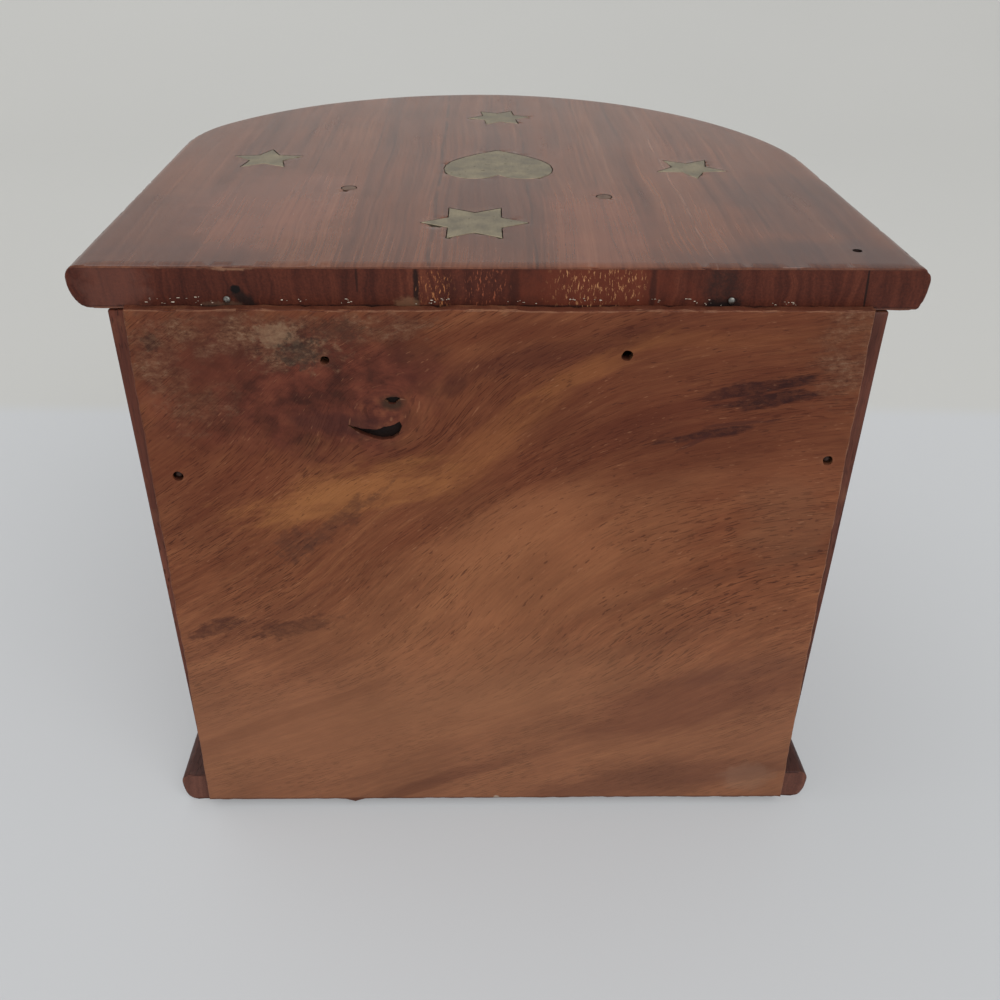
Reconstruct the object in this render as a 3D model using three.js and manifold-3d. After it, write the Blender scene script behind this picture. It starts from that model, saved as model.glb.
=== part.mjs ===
import * as THREE from "three";
import { mergeVertices } from "three/addons/utils/BufferGeometryUtils.js";
import Module from "manifold-3d";

// A small bow-fronted jewellery box in dark rosewood: a carcass of two overhanging boards, two side
// walls, two shelves and a nailed-on back panel, with three curved drawers and brass inlays on top.
// Lengths are in millimetres. +Z is up, the drawers open towards -Y, and +X is to the right of
// someone who faces the drawers. The origin is on the floor, under the middle of the base board.

// Driving dimensions of the carcass
const bodyWidth = 177; // across the outer faces of the side walls
const wallThickness = 12;
const clearHeight = 151.1; // between the base board and the top board
const bowCentreFromBack = 80.8; // from the boards' back edge to the centre of the bowed front
const bowShift = 3.2; // the bow is sawn off centre, towards the right
const bowReach = 4.7; // how much larger the bow's radius is than half the body's width
const drawerCount = 3;
const shelfThickness = 5;
const shelfHousing = 3; // how far a shelf is let into each wall

// Driving dimensions of the two boards
const topThickness = 10;
const baseThickness = 10.7;
const boardOverhang = 7.8; // past the walls and past the drawer fronts
const rightCornerRadius = 49; // of the boards, where the straight side meets the bow
const leftCornerRadius = 79;
const leftTaper = 5.3; // how far the boards' left side leans in over a length of 100
const topNose = { rise: 3.3, upperDepth: 3, lowerDepth: 4.2 };
const baseNose = { rise: 3.5, upperDepth: 3, lowerDepth: 2.7 };

// Driving dimensions of the back panel, which is nailed on over the walls' back ends
const panelThickness = 3;
const panelBottom = 2.7; // its lower edge, above the floor
const panelTopLap = 1.4; // how far it laps over the top board's back edge
const panelTopInset = 4.2; // of its side edges from the walls' outer faces, at its top
const panelBottomInset = 0.3;

// Driving dimensions of a drawer
const frontThickness = 9;
const frontSideClearance = 0.6;
const frontHeightClearance = 0.5;
const drawerRunClearance = 0.3; // under the drawer's floor
const drawerBackClearance = 0.8; // behind the drawer when it is shut
const drawerSideThickness = 5;
const drawerSideHeight = 31;
const drawerFloorThickness = 3;
const liningThickness = 1;

// Driving dimensions of a knob
const knobShankDiameter = 3;
const knobShankLength = 7;
const knobFlangeDiameter = 9;
const knobFlangeThickness = 1.2;
const knobNeckDiameter = 4.4;
const knobBallDiameter = 10;
const knobProjection = 13.5; // from the drawer front to the ball's tip

// Driving dimensions of the brass inlays, each placed from the board's nearest edges
const inlayThickness = 1;
const inlayGap = 0.35; // of filler round each inlay
const backStar = { right: 6, fromBack: 31.2, tip: 13.3, notch: 7.6, turn: 0 };
const heart = { left: 0.4, fromBack: 85, width: 31, length: 30, cleft: 3.2 };
const leftStar = { fromSide: 40.8, fromBack: 81, tip: 10.5, notch: 5, turn: 0.35 };
const rightStar = { fromSide: 29.3, fromBack: 89, tip: 10.5, notch: 5, turn: 0.95 };
const frontStar = { left: 1.5, fromFront: 38.8, tip: 10.5, notch: 6, turn: 0.1 };
const leftDot = { left: 28, fromBack: 53 };
const rightDot = { right: 40, fromBack: 60 };
const dotDiameter = 4;
const dotLength = 4;

// Driving dimensions of the nails
const pinHeadDiameter = 1.8;
const pinHeadThickness = 0.7;
const pinShankDiameter = 1.2;
const pinLength = 14;
const pinSunk = 0.8; // below the panel's surface
const nailHeadDiameter = 2.2;
const nailHeadThickness = 0.8;
const nailShankDiameter = 1.4;
const nailLength = 24;
const nailSunk = 0.9; // below the board's surface
const nailTaper = 2.5; // length of the point
const seamPinFromLeft = 36.6; // from the walls' outer faces
const seamPinFromRight = 27.4;
const panelPinFromLeft = 8.2;
const panelPinFromRight = 10;
const leftPanelPinHeight = 124;
const rightPanelPinHeight = 119.6;
const topNailFromBack = 11.5;
const baseNailInset = 30; // of the two nails under each wall, from its ends

// Driving dimensions of the marks in the panel: two drawn nails' holes, and a crack below a knot
const leftHole = { left: 29, below: 11.3, diameter: 2.6 };
const rightHole = { right: 40.1, below: 12.7, diameter: 2 };
const crack = { right: 29.8, below: 30.6, width: 12.6, sag: 2.6, gape: 1.9, depth: 1.8 };

// Clearances
const glueLine = 0.1; // between two glued flat faces
const fit = 0.3; // round a piece that is let into another

// Facets
const bowSteps = 32;
const cornerSteps = 6;
const noseSteps = 4;
const roundSteps = 24;
const nailSteps = 10;

// Places worked out from the driving dimensions
const bodyHalf = bodyWidth / 2;
const bayHalf = bodyHalf - wallThickness;
const bowRadius = bodyHalf + bowReach;
const boardHalf = bodyHalf + boardOverhang;
const boardBowRadius = bowRadius + boardOverhang;
const boardDepth = bowCentreFromBack + boardBowRadius;
const backY = boardDepth / 2;
const bowY = backY - bowCentreFromBack;
const frontY = bowY - bowRadius;
const boardFrontY = bowY - boardBowRadius;
const wallBottom = baseThickness + glueLine;
const wallTop = baseThickness + clearHeight - fit;
const topUnder = baseThickness + clearHeight;
const topSurface = topUnder + topThickness;
const shelfCount = drawerCount - 1;
const bayHeight = (clearHeight - shelfCount * shelfThickness) / drawerCount;
const bayFloor = (bay) => baseThickness + bay * (bayHeight + shelfThickness);
const panelFace = backY + glueLine + panelThickness;

const wasm = await Module();
wasm.setup();

// A closed geometry as a solid that can be cut and joined.
function solidFrom(geometry) {
  const bare = new THREE.BufferGeometry();
  bare.setAttribute("position", geometry.getAttribute("position"));
  bare.setIndex(geometry.getIndex());
  const merged = mergeVertices(bare, 1e-4);
  return new wasm.Manifold(
    new wasm.Mesh({
      numProp: 3,
      vertProperties: new Float32Array(merged.getAttribute("position").array),
      triVerts: new Uint32Array(merged.getIndex().array),
    }),
  );
}

// A solid as a geometry that a mesh can hold.
function geometryFrom(solid) {
  const mesh = solid.getMesh();
  const geometry = new THREE.BufferGeometry();
  geometry.setAttribute("position", new THREE.BufferAttribute(mesh.vertProperties, 3));
  geometry.setIndex(new THREE.BufferAttribute(mesh.triVerts, 1));
  const flat = geometry.toNonIndexed();
  flat.computeVertexNormals();
  return flat;
}

// A geometry with other closed geometries cut out of it.
function cut(geometry, tools) {
  const whole = solidFrom(geometry);
  return geometryFrom(tools.reduce((left, tool) => left.subtract(solidFrom(tool)), whole));
}

// A flat outline made into a plate that lies between two heights.
function plate(shape, low, high, curveSegments = bowSteps) {
  const geometry = new THREE.ExtrudeGeometry(shape, {
    depth: high - low,
    bevelEnabled: false,
    curveSegments,
  });
  return geometry.translate(0, 0, low);
}

// A box given by its lowest and highest corners.
function block(low, high) {
  const size = high.map((value, axis) => value - low[axis]);
  const middle = high.map((value, axis) => (value + low[axis]) / 2);
  return new THREE.BoxGeometry(...size).translate(...middle);
}

// A round bore along +Y from its mouth at the origin, to be turned and moved into place.
function boreTool(diameter, length, steps = nailSteps) {
  return new THREE.CylinderGeometry(diameter / 2, diameter / 2, length, steps).translate(0, length / 2, 0);
}

// Turns a tool or a nail that points along +Y, so that it points into the box from the back.
function fromBack(geometry, x, y, z) {
  return geometry.rotateX(Math.PI).translate(x, y, z);
}

// The same, from above.
function fromTop(geometry, x, y, z) {
  return geometry.rotateX(-Math.PI / 2).translate(x, y, z);
}

// The same, from below.
function fromBelow(geometry, x, y, z) {
  return geometry.rotateX(Math.PI / 2).translate(x, y, z);
}

// The angle on a circle round the bow's centre, seen from above, where the circle reaches x.
function bowAngle(x, radius) {
  return -Math.PI / 2 + Math.asin((x - bowShift) / radius);
}

// A plan with straight sides, a straight back and a bowed front.
function bowedPlan(halfWidth, back, radius) {
  const shape = new THREE.Shape();
  shape.absarc(bowShift, bowY, radius, bowAngle(-halfWidth, radius), bowAngle(halfWidth, radius), false);
  shape.lineTo(halfWidth, back);
  shape.lineTo(-halfWidth, back);
  shape.closePath();
  return shape;
}

// A plan of a straight strip along Y between two x values, whose front end follows the bow.
function stripPlan(innerX, outerX, back, radius) {
  const shape = new THREE.Shape();
  const [from, to] = [bowAngle(innerX, radius), bowAngle(outerX, radius)];
  shape.absarc(bowShift, bowY, radius, from, to, outerX < innerX);
  shape.lineTo(outerX, back);
  shape.lineTo(innerX, back);
  shape.closePath();
  return shape;
}

// Points along an arc, from one angle to another, both ends included.
function arcPoints(centre, radius, from, to, steps) {
  return Array.from({ length: steps + 1 }, (_, i) => {
    const angle = from + ((to - from) * i) / steps;
    return new THREE.Vector2(centre.x + radius * Math.cos(angle), centre.y + radius * Math.sin(angle));
  });
}

// The centre of a board's rounded corner: touching the straight side and the bow from inside.
function cornerCentre(side, radius) {
  const x = side * (boardHalf - radius);
  const reach = boardBowRadius - radius;
  return new THREE.Vector2(x, bowY - Math.sqrt(reach ** 2 - (x - bowShift) ** 2));
}

// A board's outline seen from above, drawn in by an inset: square at the back, then straight
// sides, rounded corners and the bow, counter-clockwise from the left end of the back edge.
// Its left half narrows towards the front, because that side was sawn out of square.
function boardOutline(inset) {
  const bow = new THREE.Vector2(bowShift, bowY);
  const left = cornerCentre(-1, leftCornerRadius);
  const right = cornerCentre(1, rightCornerRadius);
  const turn = 2 * Math.PI;
  const leftAngle = left.clone().sub(bow).angle();
  const rightAngle = right.clone().sub(bow).angle();
  const half = boardHalf - inset;
  const narrowing = leftTaper / 100 / boardHalf;
  const square = [
    new THREE.Vector2(-half, backY),
    ...arcPoints(left, leftCornerRadius - inset, Math.PI, leftAngle, cornerSteps),
    ...arcPoints(bow, boardBowRadius - inset, leftAngle, rightAngle, bowSteps).slice(1),
    ...arcPoints(right, rightCornerRadius - inset, rightAngle, turn, cornerSteps).slice(1),
    new THREE.Vector2(half, backY),
  ];
  return square.map(({ x, y }) => new THREE.Vector2(x < 0 ? x * (1 - narrowing * (backY - y)) : x, y));
}

// A closed solid through outlines of equal length at rising heights.
function loft(rings) {
  const count = rings[0].outline.length;
  const positions = rings.flatMap(({ outline, z }) => outline.flatMap((point) => [point.x, point.y, z]));
  const index = [];
  for (let level = 0; level + 1 < rings.length; level += 1) {
    for (let i = 0; i < count; i += 1) {
      const next = (i + 1) % count;
      const [a, b] = [level * count + i, level * count + next];
      index.push(a, b, b + count, a, b + count, a + count);
    }
  }
  const caps = THREE.ShapeUtils.triangulateShape(rings[0].outline, []);
  const topStart = (rings.length - 1) * count;
  for (const [a, b, c] of caps) {
    index.push(a, c, b);
    index.push(topStart + a, topStart + b, topStart + c);
  }
  const geometry = new THREE.BufferGeometry();
  geometry.setAttribute("position", new THREE.Float32BufferAttribute(positions, 3));
  geometry.setIndex(index);
  geometry.computeVertexNormals();
  return geometry;
}

// A board whose sides and front have a rounded nose: a short curve above its furthest point and a
// longer one below, with the back edge left square.
function nosedBoard(low, high, nose) {
  const furthest = high - nose.rise;
  const rings = [];
  for (let step = -noseSteps; step <= noseSteps; step += 1) {
    const angle = (step / noseSteps) * (Math.PI / 2);
    const depth = step < 0 ? nose.lowerDepth : nose.upperDepth;
    const height = step < 0 ? furthest - low : nose.rise;
    rings.push({
      outline: boardOutline(depth * (1 - Math.cos(angle))),
      z: furthest + height * Math.sin(angle),
    });
  }
  return loft(rings);
}

// A star with a number of points, turned by an angle from the right.
function starOutline(points, outer, inner, turn) {
  return Array.from({ length: points * 2 }, (_, i) => {
    const radius = i % 2 === 0 ? outer : inner;
    const angle = turn + (i * Math.PI) / points;
    return new THREE.Vector2(radius * Math.cos(angle), radius * Math.sin(angle));
  });
}

// A heart with its tip towards the front and its two lobes towards the back.
function heartOutline(width, length, cleft) {
  const half = width / 2;
  const tip = -length / 2;
  const lobe = length / 2;
  const shape = new THREE.Shape();
  shape.moveTo(0, tip);
  shape.bezierCurveTo(half * 0.35, tip * 0.72, half, tip * 0.3, half, lobe * 0.35);
  shape.bezierCurveTo(half, lobe * 1.12, half * 0.3, lobe * 1.2, 0, lobe - cleft);
  shape.bezierCurveTo(-half * 0.3, lobe * 1.2, -half, lobe * 1.12, -half, lobe * 0.35);
  shape.bezierCurveTo(-half, tip * 0.3, -half * 0.35, tip * 0.72, 0, tip);
  return shape.getPoints(8).slice(0, -1);
}

// An outline moved outwards by a distance, with mitred corners. It runs counter-clockwise.
function grown(outline, distance) {
  return outline.map((point, i) => {
    const before = outline[(i + outline.length - 1) % outline.length];
    const after = outline[(i + 1) % outline.length];
    const normals = [point.clone().sub(before), after.clone().sub(point)].map((edge) =>
      new THREE.Vector2(edge.y, -edge.x).normalize(),
    );
    const scale = distance / (1 + normals[0].dot(normals[1]));
    return point.clone().addScaledVector(normals[0].add(normals[1]), scale);
  });
}

// Brass figures let into the top, with the place of each one's middle
const star = (points, { tip, notch, turn }) => starOutline(points, tip, notch, turn);
const inlays = [
  {
    name: "inlay_star_back",
    x: backStar.right,
    y: backY - backStar.fromBack,
    outline: star(6, backStar),
  },
  {
    name: "inlay_heart",
    x: -heart.left,
    y: backY - heart.fromBack,
    outline: heartOutline(heart.width, heart.length, heart.cleft),
  },
  {
    name: "inlay_star_left",
    x: leftStar.fromSide - boardHalf,
    y: backY - leftStar.fromBack,
    outline: star(5, leftStar),
  },
  {
    name: "inlay_star_right",
    x: boardHalf - rightStar.fromSide,
    y: backY - rightStar.fromBack,
    outline: star(5, rightStar),
  },
  {
    name: "inlay_star_front",
    x: -frontStar.left,
    y: boardFrontY + frontStar.fromFront,
    outline: star(6, frontStar),
  },
];
const dots = [
  { name: "inlay_dot_left", x: -leftDot.left, y: backY - leftDot.fromBack },
  { name: "inlay_dot_right", x: rightDot.right, y: backY - rightDot.fromBack },
];

// Nails, each with its place on the face that it is driven into
const panelTop = topUnder + panelTopLap;
const panelPins = [
  { name: "panel_nail_left", x: panelPinFromLeft - bodyHalf, z: leftPanelPinHeight },
  { name: "panel_nail_right", x: bodyHalf - panelPinFromRight, z: rightPanelPinHeight },
];
const emptyPinHoles = [
  { x: -leftHole.left, z: panelTop - leftHole.below, diameter: leftHole.diameter },
  { x: rightHole.right, z: panelTop - rightHole.below, diameter: rightHole.diameter },
];
const seamPins = [
  { name: "seam_nail_left", x: seamPinFromLeft - bodyHalf },
  { name: "seam_nail_right", x: bodyHalf - seamPinFromRight },
];
const seamPinZ = panelTop + pinHeadDiameter / 2 + glueLine;
const wallMiddle = bodyHalf - wallThickness / 2;
const topNail = { name: "top_nail", x: -wallMiddle, y: backY - topNailFromBack };
const baseNails = [-1, 1].flatMap((side) => {
  const wallFrontY = bowY - Math.sqrt(bowRadius ** 2 - (side * bodyHalf - bowShift) ** 2);
  return [backY - baseNailInset, wallFrontY + baseNailInset].map((y, i) => ({
    name: `base_nail_${side < 0 ? "left" : "right"}_${i === 0 ? "back" : "front"}`,
    x: side * wallMiddle,
    y,
  }));
});

// A nail along +Y with the outer face of its head at the origin.
function nailGeometry(headDiameter, headThickness, shankDiameter, length) {
  const head = headDiameter / 2;
  const shank = shankDiameter / 2;
  const profile = [
    [0, 0],
    [head, 0],
    [head, headThickness],
    [shank, headThickness],
    [shank, length - nailTaper],
    [0, length],
  ];
  return new THREE.LatheGeometry(
    profile.map(([x, y]) => new THREE.Vector2(x, y)),
    nailSteps,
  );
}
const pin = () => nailGeometry(pinHeadDiameter, pinHeadThickness, pinShankDiameter, pinLength);
const nail = () => nailGeometry(nailHeadDiameter, nailHeadThickness, nailShankDiameter, nailLength);
const pinHole = pinHeadDiameter + 2 * fit;
const pinBore = pinShankDiameter + 2 * fit;
const nailHole = nailHeadDiameter + 2 * fit;
const nailBore = nailShankDiameter + 2 * fit;
const nailReach = nailSunk + nailLength + fit; // from a board's surface to the end of the bore

const finishes = {
  board: new THREE.MeshStandardMaterial({ color: 0x5a3024, roughness: 0.42, metalness: 0 }),
  wall: new THREE.MeshStandardMaterial({ color: 0x6b3a24, roughness: 0.5, metalness: 0 }),
  panel: new THREE.MeshStandardMaterial({ color: 0x7b4f37, roughness: 0.6, metalness: 0 }),
  front: new THREE.MeshStandardMaterial({ color: 0x643522, roughness: 0.4, metalness: 0 }),
  inner: new THREE.MeshStandardMaterial({ color: 0x8a6242, roughness: 0.75, metalness: 0 }),
  inlay: new THREE.MeshStandardMaterial({ color: 0x8a8070, roughness: 0.45, metalness: 0.8 }),
  knob: new THREE.MeshStandardMaterial({ color: 0xa98645, roughness: 0.3, metalness: 1 }),
  iron: new THREE.MeshStandardMaterial({ color: 0x77777a, roughness: 0.5, metalness: 0.9 }),
  felt: new THREE.MeshStandardMaterial({ color: 0x7a1620, roughness: 0.95, metalness: 0 }),
};

// A named piece, added to the group that carries it.
function piece(group, name, geometry, finish) {
  const mesh = new THREE.Mesh(geometry, finish);
  mesh.name = name;
  group.add(mesh);
  return mesh;
}

// The top board, with its inlays let in and its nails' holes.
function makeTop(carcass) {
  const recessDepth = inlayThickness + glueLine;
  const recesses = inlays.map(({ x, y, outline }) =>
    plate(new THREE.Shape(grown(outline, inlayGap)), -recessDepth, fit).translate(x, y, topSurface),
  );
  const dotBores = dots.map(({ x, y }) =>
    fromTop(boreTool(dotDiameter + 2 * fit, dotLength + glueLine + fit, roundSteps), x, y, topSurface + fit),
  );
  const seamBores = seamPins.map(({ x }) =>
    fromBack(boreTool(pinBore, pinLength + fit), x, backY + fit, seamPinZ),
  );
  const nailThrough = fromTop(boreTool(nailHole, topThickness + 2 * fit), topNail.x, topNail.y, topSurface + fit);
  const board = nosedBoard(topUnder, topSurface, topNose);
  const tools = [...recesses, ...dotBores, ...seamBores, nailThrough];
  piece(carcass, "top_board", cut(board, tools), finishes.board);

  for (const { name, x, y, outline } of inlays) {
    const figure = piece(carcass, name, plate(new THREE.Shape(outline), 0, inlayThickness), finishes.inlay);
    figure.position.set(x, y, topSurface - inlayThickness);
  }
  for (const { name, x, y } of dots) {
    const wire = new THREE.CylinderGeometry(dotDiameter / 2, dotDiameter / 2, dotLength, roundSteps);
    const dot = piece(carcass, name, wire, finishes.inlay);
    dot.rotation.x = Math.PI / 2;
    dot.position.set(x, y, topSurface - dotLength / 2);
  }
}

// The base board, with the bores of the nails that hold the walls.
function makeBase(carcass) {
  const bores = baseNails.map(({ x, y }) =>
    fromBelow(boreTool(nailHole, baseThickness + 2 * fit), x, y, -fit),
  );
  piece(carcass, "base_board", cut(nosedBoard(0, baseThickness, baseNose), bores), finishes.board);
}

// A side wall: its front end follows the bow, and the shelves are let into its inner face.
function makeWall(carcass, side) {
  const inner = side * bayHalf;
  const strip = plate(stripPlan(inner, side * bodyHalf, backY, bowRadius), wallBottom, wallTop, cornerSteps);
  const housings = Array.from({ length: shelfCount }, (_, i) => {
    const top = bayFloor(i + 1);
    const reach = inner + side * (shelfHousing + fit);
    const across = [Math.min(reach, inner - side), Math.max(reach, inner - side)];
    return block([across[0], frontY, top - shelfThickness - fit], [across[1], backY + fit, top + fit]);
  });
  const pinBores = panelPins
    .filter(({ x }) => Math.sign(x) === side)
    .map(({ x, z }) => fromBack(boreTool(pinBore, pinLength), x, backY + fit, z));
  const baseBores = baseNails
    .filter(({ x }) => Math.sign(x) === side)
    .map(({ x, y }) => fromBelow(boreTool(nailBore, nailReach), x, y, 0));
  const topBores = [topNail]
    .filter(({ x }) => Math.sign(x) === side)
    .map(({ x, y }) => fromTop(boreTool(nailBore, nailReach), x, y, topSurface));
  const name = side < 0 ? "side_wall_left" : "side_wall_right";
  piece(carcass, name, cut(strip, [...housings, ...pinBores, ...baseBores, ...topBores]), finishes.wall);
}

// A shelf that the drawer above it runs on, with its edge flush with the drawer fronts.
function makeShelf(carcass, level, name) {
  const plan = bowedPlan(bayHalf + shelfHousing, backY - glueLine, bowRadius);
  const shelf = piece(carcass, name, plate(plan, -shelfThickness, 0), finishes.inner);
  shelf.position.z = bayFloor(level);
}

// The back panel: narrower at the top, with its nails' holes and a dark crack beside a knot.
function makePanel(carcass) {
  const height = panelTop - panelBottom;
  const topHalf = bodyHalf - panelTopInset;
  const bottomHalf = bodyHalf - panelBottomInset;
  const outline = new THREE.Shape([
    new THREE.Vector2(-bottomHalf, 0),
    new THREE.Vector2(bottomHalf, 0),
    new THREE.Vector2(topHalf, height),
    new THREE.Vector2(-topHalf, height),
  ]);
  const holes = [...panelPins.map((place) => ({ ...place, diameter: pinHole })), ...emptyPinHoles];
  for (const { x, z, diameter } of holes) {
    outline.holes.push(new THREE.Path().absarc(x, z - panelBottom, diameter / 2, 0, 2 * Math.PI, true));
  }
  const half = crack.width / 2;
  const crescent = new THREE.Shape();
  crescent.moveTo(-half, 0);
  crescent.quadraticCurveTo(0, -2 * crack.sag - crack.gape, half, 0);
  crescent.quadraticCurveTo(0, -2 * crack.sag + crack.gape, -half, 0);
  const crackTool = plate(crescent, -fit, crack.depth, cornerSteps);
  crackTool.translate(crack.right, height - crack.below, 0);
  const board = plate(outline, 0, panelThickness, nailSteps / 2);
  const panel = piece(carcass, "back_panel", cut(board, [crackTool]), finishes.panel);
  panel.rotation.x = Math.PI / 2;
  panel.position.set(0, panelFace, panelBottom);
}

// The nails that hold the panel, the top and the base.
function makeNails(carcass) {
  for (const { name, x, z } of panelPins) {
    const made = piece(carcass, name, pin(), finishes.iron);
    made.rotation.x = Math.PI;
    made.position.set(x, panelFace - pinSunk, z);
  }
  for (const { name, x } of seamPins) {
    const made = piece(carcass, name, pin(), finishes.iron);
    made.rotation.x = Math.PI;
    made.position.set(x, backY + pinHeadThickness + glueLine, seamPinZ);
  }
  const top = piece(carcass, topNail.name, nail(), finishes.iron);
  top.rotation.x = -Math.PI / 2;
  top.position.set(topNail.x, topNail.y, topSurface - nailSunk);
  for (const { name, x, y } of baseNails) {
    const made = piece(carcass, name, nail(), finishes.iron);
    made.rotation.x = Math.PI / 2;
    made.position.set(x, y, nailSunk);
  }
}

// A turned knob along +Y: a flange at the origin with the shank behind it and the ball before it.
function knobGeometry() {
  const shank = knobShankDiameter / 2;
  const ball = knobBallDiameter / 2;
  const neck = knobNeckDiameter / 2;
  const flange = knobFlangeDiameter / 2;
  const ballCentre = knobProjection - ball;
  const ballStart = -Math.acos(neck / ball);
  const profile = [
    [0, -knobShankLength],
    [shank, -knobShankLength + shank],
    [shank, 0],
    [flange, 0],
    [flange, knobFlangeThickness * 0.6],
    [flange * 0.8, knobFlangeThickness],
    [neck, knobFlangeThickness * 1.6],
  ];
  const ballSteps = 10;
  for (let i = 0; i <= ballSteps; i += 1) {
    const angle = ballStart + ((Math.PI / 2 - ballStart) * i) / ballSteps;
    const radius = i === ballSteps ? 0 : ball * Math.cos(angle);
    profile.push([radius, ballCentre + ball * Math.sin(angle)]);
  }
  return new THREE.LatheGeometry(
    profile.map(([x, y]) => new THREE.Vector2(x, y)),
    roundSteps,
  );
}

// One drawer, in a group whose origin is at the height of the surface that it runs on.
function makeDrawer(name, bay) {
  const drawer = new THREE.Group();
  drawer.position.z = bayFloor(bay);
  const add = (part, geometry, finish) => piece(drawer, `${name}_${part}`, geometry, finish);

  const half = bayHalf - frontSideClearance;
  const insideHalf = half - drawerSideThickness;
  const back = backY - drawerBackClearance;
  const frontInner = bowRadius - frontThickness;
  const trayRadius = frontInner - fit;
  const floorTop = drawerRunClearance + drawerFloorThickness;
  const sideTop = floorTop + glueLine + drawerSideHeight;

  // The front is a curved band as wide as the bay, less its clearances.
  const band = new THREE.Shape();
  const arc = (radius, from, to) =>
    band.absarc(bowShift, bowY, radius, bowAngle(from, radius), bowAngle(to, radius), to < from);
  arc(bowRadius, -half, half);
  arc(frontInner, half, -half);
  band.closePath();
  const frontTop = bayHeight - frontHeightClearance;
  const knobZ = bayHeight / 2;
  const shankBore = boreTool(knobShankDiameter + 2 * fit, frontThickness + 2 * fit, roundSteps / 2);
  shankBore.translate(bowShift, frontY - fit, knobZ);
  add("front", cut(plate(band, frontHeightClearance, frontTop), [shankBore]), finishes.front);

  const sidePlan = (side) => stripPlan(side * insideHalf, side * half, back, trayRadius);
  const side = (sign) => plate(sidePlan(sign), floorTop + glueLine, sideTop, cornerSteps);
  add("side_left", side(-1), finishes.inner);
  add("side_right", side(1), finishes.inner);

  const backHalf = insideHalf - glueLine;
  const backLow = [-backHalf, back - drawerSideThickness, floorTop + glueLine];
  add("back", block(backLow, [backHalf, back, sideTop]), finishes.inner);
  add("floor", plate(bowedPlan(half, back, trayRadius), drawerRunClearance, floorTop), finishes.inner);

  const liningBack = back - drawerSideThickness - fit;
  const liningPlan = bowedPlan(insideHalf - fit, liningBack, trayRadius - fit);
  const liningLow = floorTop + glueLine;
  add("lining", plate(liningPlan, liningLow, liningLow + liningThickness), finishes.felt);

  const knob = add("knob", knobGeometry(), finishes.knob);
  knob.rotation.x = Math.PI;
  knob.position.set(bowShift, frontY - glueLine, knobZ);
  return drawer;
}

const box = new THREE.Group();
const carcass = new THREE.Group();
makeBase(carcass);
makeWall(carcass, -1);
makeWall(carcass, 1);
makeShelf(carcass, 1, "shelf_lower");
makeShelf(carcass, 2, "shelf_upper");
makeTop(carcass);
makePanel(carcass);
makeNails(carcass);
box.add(carcass);
["drawer_lower", "drawer_middle", "drawer_upper"].forEach((name, bay) => box.add(makeDrawer(name, bay)));

export default box;
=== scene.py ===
"""The looks of a small bow-fronted jewellery box in dark rosewood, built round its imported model.

The box stands on a pale floor and is seen from behind and above: a nailed-on back panel with a knot,
two overhanging boards, brass figures let into the top, and three curved drawers on the far side.
Lengths in this file are in millimetres unless a name says otherwise, and meshes are made in metres.
"""

import functools
import logging
import math
import random
from collections.abc import Callable, Iterable, Sequence
from dataclasses import dataclass, field
from enum import Enum

import bmesh
import bpy
from bpy.types import Material, NodeSocket, Object
from mathutils import Matrix, Vector, geometry, noise


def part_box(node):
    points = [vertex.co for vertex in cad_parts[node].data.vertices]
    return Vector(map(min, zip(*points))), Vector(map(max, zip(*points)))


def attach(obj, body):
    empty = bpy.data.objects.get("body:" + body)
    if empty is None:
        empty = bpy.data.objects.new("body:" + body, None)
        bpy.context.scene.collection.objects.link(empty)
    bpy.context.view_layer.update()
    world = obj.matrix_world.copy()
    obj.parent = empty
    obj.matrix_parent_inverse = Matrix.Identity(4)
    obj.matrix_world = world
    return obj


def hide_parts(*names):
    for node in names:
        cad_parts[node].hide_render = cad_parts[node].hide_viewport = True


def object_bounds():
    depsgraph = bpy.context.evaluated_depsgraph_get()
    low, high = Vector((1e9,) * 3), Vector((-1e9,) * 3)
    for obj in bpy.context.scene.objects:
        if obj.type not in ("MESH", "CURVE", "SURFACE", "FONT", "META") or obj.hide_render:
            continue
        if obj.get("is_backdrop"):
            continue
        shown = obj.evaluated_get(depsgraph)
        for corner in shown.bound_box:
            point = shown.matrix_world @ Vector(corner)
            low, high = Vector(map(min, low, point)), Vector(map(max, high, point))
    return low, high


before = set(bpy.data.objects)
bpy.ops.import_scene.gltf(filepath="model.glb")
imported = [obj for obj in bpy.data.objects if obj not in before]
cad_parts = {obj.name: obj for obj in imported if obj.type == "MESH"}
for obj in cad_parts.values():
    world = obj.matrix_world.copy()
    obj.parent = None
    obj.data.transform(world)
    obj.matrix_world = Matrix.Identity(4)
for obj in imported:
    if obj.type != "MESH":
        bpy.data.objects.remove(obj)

MM = 0.001
OFF_CORNERS = 0.003  # the share of a step by which cuts miss a solid's own corners
CAD_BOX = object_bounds()

Colour = tuple[int, int, int]
Flat = tuple[float, float]
Place = tuple[float, float, float]
Number = "Value | float"

log = logging.getLogger("jewellery_box")


class Body(Enum):
    """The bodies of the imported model."""

    CARCASS = "carcass"
    DRAWER_LOWER = "drawer_lower"
    DRAWER_MIDDLE = "drawer_middle"
    DRAWER_UPPER = "drawer_upper"


class Slot(Enum):
    """The record's material slots."""

    BOARD = "board_wood"
    WALL = "wall_wood"
    PANEL = "panel_wood"
    FRONT = "front_wood"
    INNER = "inner_wood"
    INLAY = "inlay_brass"
    KNOB = "knob_brass"
    IRON = "nail_iron"
    FELT = "lining_felt"


class Axis(Enum):
    """An axis of the frame, as an index into a point."""

    X = 0
    Y = 1
    Z = 2


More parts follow.
